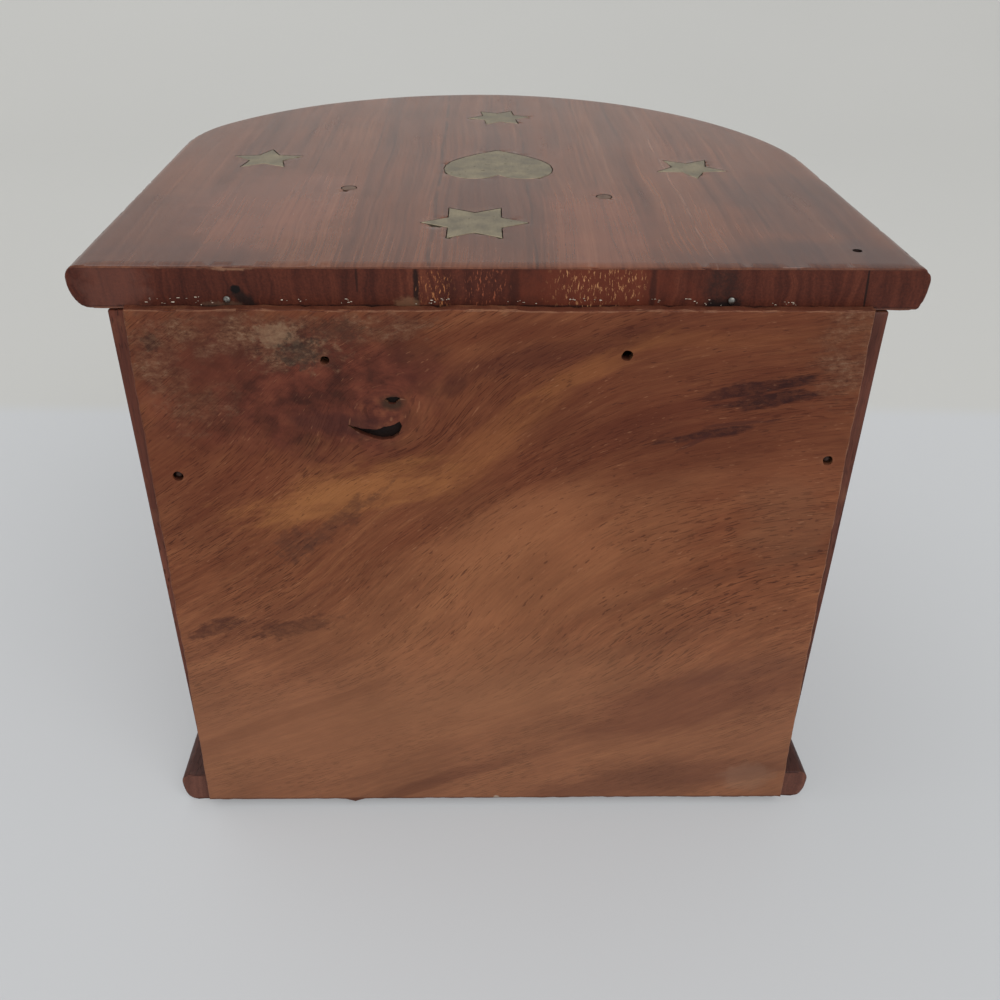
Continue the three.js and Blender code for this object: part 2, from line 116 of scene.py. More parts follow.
def linear(colour: Colour) -> tuple[float, float, float, float]:
    """A screen colour as the linear colour that a shader takes.

    Args:
        colour: Its red, green and blue, from 0 to 255.

    Returns:
        Its linear red, green, blue and alpha.
    """

    def channel(value: int) -> float:
        """One channel by the screen's own curve."""
        share = value / 255
        return share / 12.92 if share <= 0.04045 else ((share + 0.055) / 1.055) ** 2.4

    return (*(channel(value) for value in colour), 1.0)


def box_of(node: str) -> tuple[Vector, Vector]:
    """The lowest and highest corner of a CAD node, in millimetres."""
    low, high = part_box(node)
    return low / MM, high / MM


class Value:
    """A number on a material's node tree that can be reckoned with like a float."""

    def __init__(self, recipe: "Recipe", socket: NodeSocket) -> None:
        """Wraps an output socket of a recipe's tree."""
        self.recipe = recipe
        self.socket = socket

    def _with(self, operation: str, *others: Number) -> "Value":
        """This value and others through one Math node."""
        return self.recipe.math(operation, self, *others)

    def __add__(self, other: Number) -> "Value":
        """The sum."""
        return self._with("ADD", other)

    def __sub__(self, other: Number) -> "Value":
        """The difference."""
        return self._with("SUBTRACT", other)

    def __rsub__(self, other: float) -> "Value":
        """A float less this value."""
        return self.recipe.math("SUBTRACT", other, self)

    def __mul__(self, other: Number) -> "Value":
        """The product."""
        return self._with("MULTIPLY", other)

    def __truediv__(self, other: Number) -> "Value":
        """The quotient."""
        return self._with("DIVIDE", other)

    def size(self) -> "Value":
        """The value without its sign."""
        return self._with("ABSOLUTE")

    def most(self, other: Number) -> "Value":
        """The larger of the two."""
        return self._with("MAXIMUM", other)

    def rise(self, start: float, end: float, full: float = 1.0) -> "Value":
        """A smooth rise as this value grows, or a fall where the end is lower than the start.

        Args:
            start: Where it is 0.
            end: Where it is full.
            full: The full value.

        Returns:
            The value between 0 and the full value.
        """
        low, high = min(start, end), max(start, end)
        limits = (0.0, full) if start < end else (full, 0.0)
        made = self.recipe.node(
            "MapRange",
            {"Value": self, "From Min": low, "From Max": high, "To Min": limits[0], "To Max": limits[1]},
            interpolation_type="SMOOTHSTEP",
        )
        return Value(self.recipe, made.outputs["Result"])


class Recipe:
    """One material, written as expressions on places in millimetres."""

    def __init__(self, name: str) -> None:
        """Starts an empty material.

        Args:
            name: The material's name.
        """
        self.material = bpy.data.materials.new(name)
        self.material.use_nodes = True
        self.nodes = self.material.node_tree.nodes
        self.links = self.material.node_tree.links
        self.nodes.clear()

    def node(self, kind: str, inputs: dict, **settings: object) -> bpy.types.Node:
        """Adds a node.

        Args:
            kind: Blender's name of the node's type, less the ShaderNode that it starts with.
            inputs: What each input takes, by name or index: a Value, a socket or a constant.
            **settings: The node's own properties.

        Returns:
            The node.
        """
        made = self.nodes.new(f"ShaderNode{kind}")
        for key, value in settings.items():
            setattr(made, key, value)
        for key, value in inputs.items():
            self.feed(made.inputs[key], value)
        return made

    def feed(self, target: NodeSocket, value: object) -> None:
        """Gives an input what it takes.

        Args:
            target: The input.
            value: A value or socket to link to it, or a constant to set.
        """
        if isinstance(value, Value):
            self.links.new(value.socket, target)
        elif isinstance(value, NodeSocket):
            self.links.new(value, target)
        else:
            target.default_value = value

    def math(self, operation: str, *values: Number) -> Value:
        """The result of a Math node."""
        made = self.node("Math", dict(enumerate(values)), operation=operation)
        return Value(self, made.outputs[0])

    def parts(self, vector: NodeSocket) -> tuple[Value, Value, Value]:
        """The x, y and z of a vector."""
        made = self.node("SeparateXYZ", {0: vector})
        return tuple(Value(self, made.outputs[i]) for i in range(3))

    def place(self) -> tuple[Value, Value, Value]:
        """The shaded point's x, y and z on the resting box, in millimetres."""
        return tuple(part / MM for part in self.parts(self.node("TexCoord", {}).outputs["Object"]))

    def facing(self) -> tuple[Value, Value, Value]:
        """The x, y and z of the surface's normal."""
        return self.parts(self.node("NewGeometry", {}).outputs["Normal"])

    def edges(self) -> Value:
        """How much the surface sticks out, as along an edge: about a half where it is flat."""
        return Value(self, self.node("NewGeometry", {}).outputs["Pointiness"])

    def vector(self, *parts: Number) -> NodeSocket:
        """Three numbers as one vector."""
        return self.node("CombineXYZ", dict(enumerate(parts))).outputs[0]

    def noise(self, *parts: Number, detail: float = 2.0, roughness: float = 0.5) -> Value:
        """A soft random value from 0 to 1 over a place that is already scaled."""
        inputs = {"Vector": self.vector(*parts), "Scale": 1.0, "Detail": detail, "Roughness": roughness}
        return Value(self, self.node("TexNoise", inputs).outputs[0])

    def curve(self, value: Value, points: Sequence[Flat]) -> Value:
        """Reads a smooth curve.

        Args:
            value: Where it is read, from 0 to 1.
            points: The points that it runs through.

        Returns:
            The curve's height there.
        """
        made = self.node("FloatCurve", {"Value": value})
        line = made.mapping.curves[0]
        for place, height in points[1:-1]:
            line.points.new(place, height)
        for point, (place, height) in zip(line.points, sorted(points), strict=True):
            point.location = (place, height)
        made.mapping.update()
        return Value(self, made.outputs[0])

    def ramp(self, value: Value, stops: Sequence[tuple[float, Colour]]) -> NodeSocket:
        """A colour that runs through stops.

        Args:
            value: Where between 0 and 1 it is read.
            stops: Each stop's place and colour.

        Returns:
            The colour.
        """
        made = self.node("ValToRGB", {0: value})
        elements = made.color_ramp.elements
        while len(elements) < len(stops):
            elements.new(0.5)
        for element, (place, colour) in zip(elements, stops, strict=True):
            element.position = place
            element.color = linear(colour)
        return made.outputs[0]

    def mix(self, share: Number, base: object, other: object, blend: str = "MIX") -> NodeSocket:
        """Two colours blended.

        Args:
            share: The other colour's share, from 0 to 1.
            base: The colour where the share is 0.
            other: The other colour.
            blend: Blender's name of the way they blend.

        Returns:
            The blended colour.
        """
        inputs = {0: share, 6: base, 7: other}
        made = self.node("Mix", inputs, data_type="RGBA", blend_type=blend)
        return made.outputs[2]

    def tinted(self, share: Number, base: object, colour: Colour) -> NodeSocket:
        """A colour drawn towards a screen colour by a share."""
        return self.mix(share, base, linear(colour))

    def shaded(self, base: object, level: Value) -> NodeSocket:
        """A colour made darker or lighter by a level, where 1 leaves it alone."""
        grey = self.node("CombineColor", {0: level, 1: level, 2: level})
        return self.mix(1.0, base, grey.outputs[0], "MULTIPLY")

    def patch(self, place: NodeSocket, mark: "Mark") -> Value:
        """How strongly a mark shows: 0 outside it, with a soft ragged rim.

        Args:
            place: The place on the mark's face.
            mark: The mark.

        Returns:
            Its strength there.
        """
        rim = 1.0 + mark.ragged
        end = rim + mark.softness / 2
        half = (mark.width / 2 * end, mark.height / 2 * end)
        inputs = {
            "Vector": place,
            "Location": (mark.across, mark.up, 0.0),
            "Rotation": (0.0, 0.0, math.radians(mark.turn)),
            "Scale": (*half, 1.0),
        }
        local = self.node("Mapping", inputs, vector_type="TEXTURE").outputs[0]
        sphere = self.node("TexGradient", {0: local}, gradient_type="SPHERICAL").outputs["Fac"]
        scale = (half[0] / (mark.grit * mark.streak), half[1] / mark.grit, 1.0)
        inputs = {"Vector": local, "Location": (0.0, 0.0, mark.across), "Scale": scale}
        spread = self.node("Mapping", inputs, vector_type="POINT").outputs[0]
        inputs = {"Vector": spread, "Scale": 1.0, "Detail": 4.0, "Roughness": 0.62}
        blotch = Value(self, self.node("TexNoise", inputs).outputs[0])
        near = self.math("MULTIPLY_ADD", blotch, -2 * mark.ragged / end, Value(self, sphere))
        return near.rise(0.0, mark.softness / end, mark.strength)

    def marked(
        self, colour: object, marks: Sequence["Mark"], place: NodeSocket, specks: Value
    ) -> NodeSocket:
        """A colour with marks laid over it.

        Args:
            colour: The colour under them.
            marks: The marks, from the lowest to the uppermost.
            place: The place on their face.
            specks: A fine mottle from 0 to 1 that breaks up each mark as far as the mark says.

        Returns:
            The marked colour.
        """
        for mark in marks:
            share = self.patch(place, mark)
            if mark.broken:
                share = share * (specks * mark.broken + (1 - mark.broken))
            colour = self.tinted(share, colour, mark.colour)
        return colour

    def surface(
        self,
        colour: object,
        roughness: Number,
        height: Value | None = None,
        depth: float = 0.1,
        **others: object,
    ) -> Material:
        """Closes the recipe with one Principled shader.

        Args:
            colour: The base colour.
            roughness: The roughness.
            height: A height from 0 to 1 for the fine relief, if any.
            depth: The relief's depth.
            **others: What other inputs take, by name with underscores for spaces.

        Returns:
            The finished material.
        """
        inputs = {"Base Color": colour, "Roughness": roughness}
        inputs.update({name.replace("_", " "): value for name, value in others.items()})
        if height is not None:
            relief = {"Height": height, "Distance": depth * MM, "Strength": 1.0}
            inputs["Normal"] = self.node("Bump", relief).outputs[0]
        shader = self.node("BsdfPrincipled", inputs)
        self.node("OutputMaterial", {0: shader.outputs[0]})
        return self.material


@dataclass(frozen=True)
class Mark:
    """A stain, scuff or patch on a face, as a ragged ellipse in the face's own two directions. Its
    colour is None where a finish lays something else than one colour inside it."""

    across: float
    up: float
    width: float
    height: float
    colour: Colour | None
    strength: float
    turn: float = 0.0
    softness: float = 0.9
    ragged: float = 0.5
    grit: float = 5.0
    streak: float = 1.0
    broken: float = 0.0


@dataclass(frozen=True)
class Wood:
    """The colours of one wood, from its darkest figure to its palest."""

    dark: Colour
    brown: Colour
    warm: Colour
    pale: Colour

    def stops(self) -> list[tuple[float, Colour]]:
        """The colours as stops for a ramp over soft noise."""
        return [(0.24, self.dark), (0.43, self.brown), (0.57, self.warm), (0.78, self.pale)]


class Lie(Enum):
    """How the grain lies: the axes along it, across it over the face, and into the wood."""

    UPRIGHT = (Axis.Z, Axis.Y, Axis.X)
    SIDE_TO_SIDE = (Axis.X, Axis.Z, Axis.Y)
    ON_EDGE = (Axis.Y, Axis.Z, Axis.X)
    FLAT = (Axis.X, Axis.Y, Axis.Z)


@dataclass(frozen=True)
class Grain:
    """How far apart the marks of the grain lie, across it, and how long they are."""

    sway: float = 30.0
    sway_length: float = 55.0
    band: float = 7.0
    band_length: float = 120.0
    streak: float = 1.3
    streak_length: float = 40.0
    fibre: float = 0.33
    fibre_length: float = 7.0
    pore: float = 0.42
    pore_length: float = 2.8
    pore_share: float = 0.64
    open_wood: float = 14.0
    open_length: float = 40.0


@dataclass(frozen=True)
class Figure:
    """What the grain gives to a surface: a colour, how open its pores are, and a fine relief."""

    colour: NodeSocket
    pores: Value
    relief: Value


@dataclass(frozen=True)
class WoodFinish:
    """A rosewood surface whose grain runs along one axis of the box."""

    name: str
    wood: Wood
    lie: Lie = Lie.FLAT
    grain: Grain = field(default_factory=Grain)
    roughness: float = 0.42
    wave: float = 3.0
    worn: Colour = (150, 104, 74)
    worn_share: float = 0.35
    pore_colour: Colour = (44, 24, 18)
    pore_strength: float = 0.6
    contrast: float = 0.5
    gloss: float = 0.5
    relief_depth: float = 0.06
    fineness: float = 0.38
    layering: float = 1.0

    def figure(self, recipe: Recipe, along: Value, across: Value, depth: Value) -> Figure:
        """The grain at a place.

        Args:
            recipe: The material being made.
            along: The distance along the grain.
            across: The distance across it, over the face.
            depth: The distance into the wood.

        Returns:
            Its colour, pores and relief.
        """
        grain = self.grain
        sway = recipe.noise(along / grain.sway_length, across / grain.sway, depth / grain.sway, detail=1.0)
        over = across + (sway - 0.5) * (2 * self.wave)

        def drawn_out(width: float, length: float, detail: float, roughness: float = 0.5) -> Value:
            """Noise that is drawn out along the grain."""
            places = (along / length, over / width, depth / width)
            return recipe.noise(*places, detail=detail, roughness=roughness)

        band = drawn_out(grain.band, grain.band_length, 3.0)
        streak = drawn_out(grain.streak, grain.streak_length, 3.0, 0.6)
        fibre = drawn_out(grain.fibre, grain.fibre_length, 1.0)
        cells = drawn_out(grain.pore, grain.pore_length, 0.0)
        places = (along / grain.open_length, over / grain.open_wood, depth / grain.open_wood + 6)
        open_wood = recipe.noise(*places).rise(0.4, 0.6)
        pores = cells.rise(grain.pore_share, grain.pore_share + 0.06) * (open_wood * 0.75 + 0.25)
        shade = band * (1 - self.fineness) + streak * self.fineness
        colour = recipe.shaded(
            recipe.ramp(shade, self.wood.stops()), fibre * self.contrast + (1 - self.contrast / 2)
        )
        colour = recipe.tinted(pores * self.pore_strength, colour, self.pore_colour)
        relief = fibre * 0.5 + streak * 0.3 - pores * 0.8
        return Figure(colour, pores, relief)

    def weathered(self, recipe: Recipe, colour: object, places: Sequence[Value]) -> NodeSocket:
        """Rubs the edges of the wood pale and lays a little grime over it.

        Args:
            recipe: The material being made.
            colour: The wood's colour.
            places: The shaded point's x, y and z.

        Returns:
            The colour with both.
        """
        x, y, z = places
        rubbed = recipe.noise(x / 5, y / 5, z / 5, detail=4.0, roughness=0.6).rise(0.45, 0.62)
        edges = recipe.edges().rise(0.515, 0.6)
        colour = recipe.tinted(edges * rubbed * self.worn_share, colour, self.worn)
        grime = recipe.noise(x / 22 + 9, y / 22, z / 22, detail=3.0)
        return recipe.shaded(colour, grime * 0.5 + 0.75)

    def material(self) -> Material:
        """Makes the material.

        Returns:
            The material.
        """
        recipe = Recipe(self.name)
        places = recipe.place()
        along, across, depth = (places[axis.value] for axis in self.lie.value)
        figure = self.figure(recipe, along, across, depth * self.layering)
        colour = self.weathered(recipe, figure.colour, places)
        shine = recipe.noise(*(place / 14 for place in places), detail=3.0)
        roughness = shine * 0.16 + (self.roughness - 0.08) + figure.pores * 0.2
        return self.closed(recipe, colour, roughness, figure.relief)

    def closed(self, recipe: Recipe, colour: object, roughness: Value, relief: Value) -> Material:
        """Closes a wood's recipe with its relief and gloss."""
        return recipe.surface(colour, roughness, relief, self.relief_depth, Specular_IOR_Level=self.gloss)


@dataclass(frozen=True)
class Line:
    """A thin line along the grain of the top, at a distance to the right as seen from behind."""

    across: float
    width: float
    colour: Colour
    strength: float


@dataclass(frozen=True)
class BoardFinish(WoodFinish):
    """A polished board whose grain runs from back to front."""

    marks: tuple[Mark, ...] = ()
    lines: tuple[Line, ...] = ()

    def material(self) -> Material:
        """Makes the material.

        Returns:
            The material.
        """
        recipe = Recipe(self.name)
        x, y, z = recipe.place()
        figure = self.figure(recipe, y, x, z)
        top = recipe.facing()[2].rise(0.6, 0.9)
        across = 0.0 - x
        from_back = box_of("top_board")[1].y - y
        colour = figure.colour
        for line in self.lines:
            sway = (recipe.noise(y / 30, line.across) - 0.5) * 3
            shown = (across - line.across + sway).size().rise(line.width, line.width * 0.3)
            broken = recipe.noise(y / 9, line.across + 5).rise(0.35, 0.55)
            colour = recipe.tinted(shown * line.strength * broken, colour, line.colour)
        marked = recipe.marked(colour, self.marks, recipe.vector(across, from_back), figure.pores)
        colour = recipe.mix(top, colour, marked)
        colour = self.weathered(recipe, colour, (x, y, z))
        shine = recipe.noise(x / 9, y / 60, z / 9, detail=4.0, roughness=0.6)
        roughness = shine * 0.2 + (self.roughness - 0.1) + figure.pores * 0.03
        return self.closed(recipe, colour, roughness, figure.relief)


@dataclass(frozen=True)
class EndFinish(WoodFinish):
    """The sawn back end of a board: end grain in wavy upright bands, scratched and stained."""

    marks: tuple[Mark, ...] = ()
    scratches: tuple[Mark, ...] = ()
    wandering: float = 4.5

    def material(self) -> Material:
        """Makes the material.

        Returns:
            The material.
        """
        recipe = Recipe(self.name)
        x, y, z = recipe.place()
        across = 0.0 - x
        sway = (recipe.noise(x / 9, z / 7, detail=3.0) - 0.5) * self.wandering
        bands = recipe.noise((x + sway) / 2.0 + 7, z / 40, detail=3.0, roughness=0.65)
        broad = recipe.noise((x + sway) / 11 + 3, z / 60, detail=1.0)
        cells = recipe.noise(x / 0.5, z / 0.5, y / 0.5, detail=2.0, roughness=0.6)
        colour = recipe.ramp(bands * 0.6 + broad * 0.25 + cells * 0.15, self.wood.stops())
        colour = recipe.shaded(colour, cells * 0.4 + 0.8)
        specks = recipe.noise(x / 1.1, z / 1.1, 2.0, detail=4.0, roughness=0.7).rise(0.42, 0.58)
        face = recipe.vector(across, z)
        colour = recipe.marked(colour, self.marks, face, specks)
        bent = (recipe.noise(x / 3, z / 3, 1.0) - 0.5) * 3
        hatch = recipe.noise(x / 0.42 + bent, z / 2.0, 5.0, detail=3.0, roughness=0.65).rise(0.56, 0.64)
        for mark in self.scratches:
            colour = recipe.tinted(recipe.patch(face, mark) * hatch, colour, mark.colour)
        colour = self.weathered(recipe, colour, (x, y, z))
        return self.closed(recipe, colour, cells * 0.2 + (self.roughness - 0.1), cells * 0.8 + bands * 0.2)


@dataclass(frozen=True)
class PanelFinish(WoodFinish):
    """The back panel's face: grain that climbs from low left, turns level at upper right, and runs
    round a knot. Its two directions are across, to the right as seen from behind, and up."""

    knot_across: float = -28.5
    knot_up: float = 137.0
    knot_phase: float = 88.6
    knot_reach: float = 13.0
    low_climb: float = 0.42
    climb_span: float = 176.0
    climb: tuple[Flat, ...] = ((0, 0), (0.22, 0.3), (0.39, 0.6), (0.61, 0.855), (0.73, 0.925), (1, 1))
    climb_height: float = 95.0
    low_edge: float = 35.0
    high_edge: float = 118.0
    upper_tint: Colour = (82, 34, 20)
    upper_tint_share: float = 0.38
    lower_tint: Colour = (150, 106, 80)
    lower_tint_share: float = 0.42
    marks: tuple[Mark, ...] = ()
    burl: tuple[Mark, ...] = ()
    crust: tuple[Mark, ...] = ()
    spots: tuple[Mark, ...] = ()

    def phase(self, recipe: Recipe, across: Value, up: Value) -> Value:
        """Which line of the grain a place lies on.

        Args:
            recipe: The material being made.
            across: The distance to the right, from behind.
            up: The height.

        Returns:
            A distance in millimetres that stays the same along each line of the grain.
        """
        share = across / self.climb_span + 0.5
        high = recipe.curve(share, self.climb) * self.climb_height
        low = (across + self.climb_span / 2) * self.low_climb
        weight = up.rise(self.low_edge, self.high_edge)
        plain = up - (low + (high - low) * weight)
        sway = recipe.noise(across / 60, up / 40, 3.0, detail=1.0)
        plain = plain + (sway - 0.5) * 5
        dx, dy = across - self.knot_across, up - self.knot_up
        reach = dx * dx * 0.7 + dy * dy
        parted = reach / (reach + self.knot_reach**2)
        return (plain - self.knot_phase) * parted + self.knot_phase

    def material(self) -> Material:
        """Makes the material.

        Returns:
            The material.
        """
        recipe = Recipe(self.name)
        x, y, z = recipe.place()
        across = 0.0 - x
        phase = self.phase(recipe, across, z)
        figure = self.figure(recipe, across + z * 0.35, phase, y)
        specks = recipe.noise(across / 2.6, z / 1.5, 7.0, detail=5.0, roughness=0.72).rise(0.4, 0.6)
        # Darker and redder towards the top, and paler towards the bottom.
        colour = recipe.tinted(z.rise(55, 130) * self.upper_tint_share, figure.colour, self.upper_tint)
        colour = recipe.tinted(z.rise(95, 30) * self.lower_tint_share, colour, self.lower_tint)
        colour = self.curled(recipe, colour, across, z)
        colour = self.knot(recipe, colour, across, z)
        colour = recipe.marked(colour, self.marks, recipe.vector(across, z), specks)
        colour = self.torn(recipe, colour, across + z * 0.35, phase, z)
        colour = self.glued(recipe, colour, across, z)
        colour = recipe.marked(colour, self.spots, recipe.vector(across, z), specks)
        # Painted shade in the holes, on the top ledge and along the foot, and a painted highlight on the
        # upper and right arrises.
        colour = self.rims(recipe, colour, across, y, z)
        colour = self.weathered(recipe, colour, (x, y, z))
        shine = recipe.noise(across / 11, phase / 5, 2.0, detail=4.0, roughness=0.6)
        roughness = shine * 0.24 + (self.roughness - 0.12) + figure.pores * 0.15
        return self.closed(recipe, colour, roughness, figure.relief)

    def torn(self, recipe: Recipe, colour: object, along: Value, phase: Value, up: Value) -> NodeSocket:
        """Lays short dark and pale flecks where the saw tore the grain, above the smoother foot.

        Args:
            recipe: The material being made.
            colour: The colour under it.
            along: The distance along the grain.
            phase: The line of the grain.
            up: The height.

        Returns:
            The colour with the flecks.
        """
        cells = recipe.noise(along / 3.4, phase / 0.66, 13.0, detail=2.0, roughness=0.55)
        grouped = recipe.noise(along / 11, phase / 5, 3.0, detail=3.0, roughness=0.6).rise(0.4, 0.58)
        shown = grouped * up.rise(48, 76)
        colour = recipe.tinted(cells.rise(0.61, 0.68) * shown * 0.6, colour, (66, 31, 22))
        return recipe.tinted(cells.rise(0.36, 0.29) * shown * 0.36, colour, (168, 116, 84))

    def curled(self, recipe: Recipe, colour: object, across: Value, up: Value) -> NodeSocket:
        """Blotches the wood about the knot, where the grain stands on end.

        Args:
            recipe: The material being made.
            colour: The colour under it.
            across: The distance to the right, from behind.
            up: The height.

        Returns:
            The colour with the blotches.
        """
        blotch = recipe.noise(across / 7, up / 6, 11.0, detail=5.0, roughness=0.6)
        stops = [(0.34, (58, 26, 21)), (0.47, (84, 40, 30)), (0.58, (102, 51, 38)), (0.72, (116, 63, 45))]
        curl = recipe.ramp(blotch, stops)
        face = recipe.vector(across, up)
        for mark in self.burl:
            colour = recipe.mix(recipe.patch(face, mark), colour, curl)
        return colour

    def glued(self, recipe: Recipe, colour: object, across: Value, up: Value) -> NodeSocket:
        """Lays a thin wrinkled crust of old glue.

        Args:
            recipe: The material being made.
            colour: The colour under it.
            across: The distance to the right, from behind.
            up: The height.

        Returns:
            The colour with the crust.
        """
        slow = recipe.noise(across / 7, up / 4, 9.0, detail=3.0, roughness=0.6)
        wrinkle = recipe.noise(across / 1.8, up / 1.1, 4.0, detail=6.0, roughness=0.78) * 0.7 + slow * 0.3
        stops = [(0.4, (52, 33, 27)), (0.47, (94, 60, 44)), (0.54, (118, 82, 61)), (0.62, (144, 114, 90))]
        film = recipe.ramp(wrinkle, stops)
        broken = slow.rise(0.36, 0.54)
        face = recipe.vector(across, up)
        patches = [recipe.patch(face, mark) for mark in self.crust]
        crust = functools.reduce(Value.most, patches) * (broken * 0.6 + 0.4)
        return recipe.mix(crust, colour, film)

    def knot(self, recipe: Recipe, colour: object, across: Value, up: Value) -> NodeSocket:
        """Lays the knot's red heart and the faint rings round it.

        Args:
            recipe: The material being made.
            colour: The colour under it.
            across: The distance to the right, from behind.
            up: The height.

        Returns:
            The colour with the knot.
        """
        dx, dy = across - self.knot_across, up - self.knot_up
        blur = (recipe.noise(across / 5, up / 5, 1.0, detail=3.0) - 0.5) * 4
        reach = recipe.math("SQRT", dx * dx * 0.8 + dy * dy) + blur
        rings = recipe.noise(reach / 1.0, across / 14, up / 14, detail=2.0)
        ringed = reach.rise(14.0, 8.0) * reach.rise(4.0, 6.5)
        colour = recipe.shaded(colour, (rings - 0.5) * ringed * 0.7 + 1.0)
        inside = reach.rise(7.0, 4.0)
        mottle = recipe.noise(across / 3.2, up / 2.4, 8.0, detail=4.0, roughness=0.6) * 0.75 + rings * 0.25
        heart = recipe.ramp(mottle, [(0.34, (72, 34, 27)), (0.5, (100, 52, 38)), (0.66, (126, 72, 49))])
        return recipe.mix(inside * 0.85, colour, heart)

    def rims(self, recipe: Recipe, colour: object, across: Value, y: Value, up: Value) -> NodeSocket:
        """Paints shade into the holes' walls, onto the ledge along the top and along the foot, and paints a
        highlight on the arrises that face up and to the right.

        Args:
            recipe: The material being made.
            colour: The colour under it.
            across: The distance to the right, from behind.
            y: The distance to the back.
            up: The height.

        Returns:
            The colour with these.
        """
        low, high = box_of("back_panel")
        # Painted shade: the walls of the holes, below the face, are drawn nearly black, away from the
        # panel's rounded rim.
        hole_shade = y.rise(high.y - 0.75, high.y - 1.15)
        side = across.size().rise(high.x - 5.5, high.x - 4.6)
        border = side.most(up.rise(high.z - 1.2, high.z - 0.6)).most(up.rise(low.z + 1.6, low.z + 0.9))
        colour = recipe.tinted(hole_shade * (1.0 - border) * 0.94, colour, (14, 9, 8))
        facing = recipe.facing()
        # Painted shade: the faces turned up, along the top under the board's end, are drawn darker.
        ledge_shade = facing[2].rise(0.62, 0.85)
        colour = recipe.tinted(ledge_shade * 0.75, colour, (84, 44, 32))
        # Painted highlight: the rounded arrises that face up and to the right are drawn paler, broken up in
        # patches.
        broken = recipe.noise(across / 6, up / 6, 3.0, detail=4.0, roughness=0.65).rise(0.4, 0.56)
        turned = facing[2].most(0.0 - facing[0])
        arris_highlight = turned.rise(0.2, 0.4) * turned.rise(0.9, 0.7)
        colour = recipe.tinted(arris_highlight * broken * 0.4, colour, (146, 106, 80))
        # Painted shadow: a dark band along the lower edge, where the shadow under the panel falls.
        return recipe.tinted(up.rise(low.z + 1.5, low.z + 0.5) * 0.65, colour, (58, 26, 22))


@dataclass(frozen=True)
class MetalFinish:
    """A worn metal: its bright and dull colours, and how patchy they are."""

    name: str
    bright: Colour
    dull: Colour
    spots: Colour
    roughness: float
    metallic: float
    patch_size: float
    spot_share: float = 0.66

    def material(self) -> Material:
        """Makes the material.

        Returns:
            The material.
        """
        recipe = Recipe(self.name)
        x, y, z = (place / self.patch_size for place in recipe.place())
        film = recipe.noise(x, y, z, detail=4.0, roughness=0.6)
        scratches = recipe.noise(x * 9, y * 1.2, z * 9, detail=2.0)
        colour = recipe.ramp(film, [(0.34, self.dull), (0.66, self.bright)])
        specks = recipe.noise(x * 4 + 3, y * 4, z * 4, detail=3.0)
        specks = specks.rise(self.spot_share, self.spot_share + 0.1)
        colour = recipe.tinted(specks * 0.8, colour, self.spots)
        colour = recipe.shaded(colour, scratches * 0.3 + 0.85)
        roughness = film * 0.25 + (self.roughness - 0.12) + specks * 0.25
        relief = film * 0.6 + scratches * 0.4
        return recipe.surface(colour, roughness, relief, 0.04, Metallic=self.metallic)


@dataclass(frozen=True)
class FeltFinish:
    """A napped cloth."""

    name: str
    colour: Colour
    shade: Colour
    lint: Colour

    def material(self) -> Material:
        """Makes the material.

        Returns:
            The material.
        """
        recipe = Recipe(self.name)
        x, y, z = recipe.place()
        nap = recipe.noise(x / 0.5, y / 0.5, z / 0.5, detail=3.0, roughness=0.7)
        brushed = recipe.noise(x / 16, y / 9, z / 9, detail=3.0)
        colour = recipe.ramp(nap * 0.5 + brushed * 0.5, [(0.36, self.shade), (0.6, self.colour)])
        threads = recipe.noise(x / 0.35 + 4, y / 1.6, z, detail=0.0).rise(0.74, 0.8)
        colour = recipe.tinted(threads * 0.35, colour, self.lint)
        return recipe.surface(
            colour, 0.95, nap, 0.25, Sheen_Weight=0.35, Sheen_Roughness=0.5, Specular_IOR_Level=0.15
        )


@dataclass(frozen=True)
class PlainFinish:
    """A matt stuff of one colour with a mottled surface, such as old glue or hard filler."""

    name: str
    colour: Colour
    shade: Colour
    roughness: float = 0.5
    mottle: float = 0.8

    def material(self) -> Material:
        """Makes the material.

        Returns:
            The material.
        """
        recipe = Recipe(self.name)
        mottle = recipe.noise(*(place / self.mottle for place in recipe.place()), detail=4.0, roughness=0.6)
        colour = recipe.ramp(mottle, [(0.35, self.shade), (0.65, self.colour)])
        return recipe.surface(colour, mottle * 0.2 + (self.roughness - 0.1), mottle, 0.08)


@dataclass(frozen=True)
class SheetFinish:
    """The pale stage: a cool sheet near the box and a warmer one beyond a seam."""

    name: str
    near: Colour
    far: Colour
    seam: float
    blur: float
    lift: float = 0.4
    level: float = 0.92

    def material(self) -> Material:
        """Makes the material, which shows part of its colour at an even level where it is seen.

        Returns:
            The finished material.
        """
        recipe = Recipe(self.name)
        x, y, z = recipe.place()
        cloud = recipe.noise(x / 420, y / 420, z / 420, detail=2.0)
        share = (y + (cloud - 0.5) * 30).rise(self.seam + self.blur, self.seam - self.blur)
        colour = recipe.mix(share, linear(self.near), linear(self.far))
        colour = recipe.shaded(colour, cloud * 0.06 + 0.97)
        seen = self.seen(recipe) * self.lift
        lit = recipe.shaded(colour, 1.0 - seen)
        glow = {"Emission_Color": colour, "Emission_Strength": seen * self.level}
        return recipe.surface(lit, 0.9, Specular_IOR_Level=0.1, **glow)

    def seen(self, recipe: Recipe) -> Value:
        """Whether the sheet is seen, and doesn't just light something else.

        Args:
            recipe: The material being made.

        Returns:
            1 where it is seen straight, in a reflection or through glass, otherwise 0.
        """
        path = recipe.node("LightPath", {})
        names = ("Is Camera Ray", "Is Glossy Ray", "Is Transmission Ray")
        straight, mirrored, through = (Value(recipe, path.outputs[name]) for name in names)
        return straight.most(mirrored).most(through)


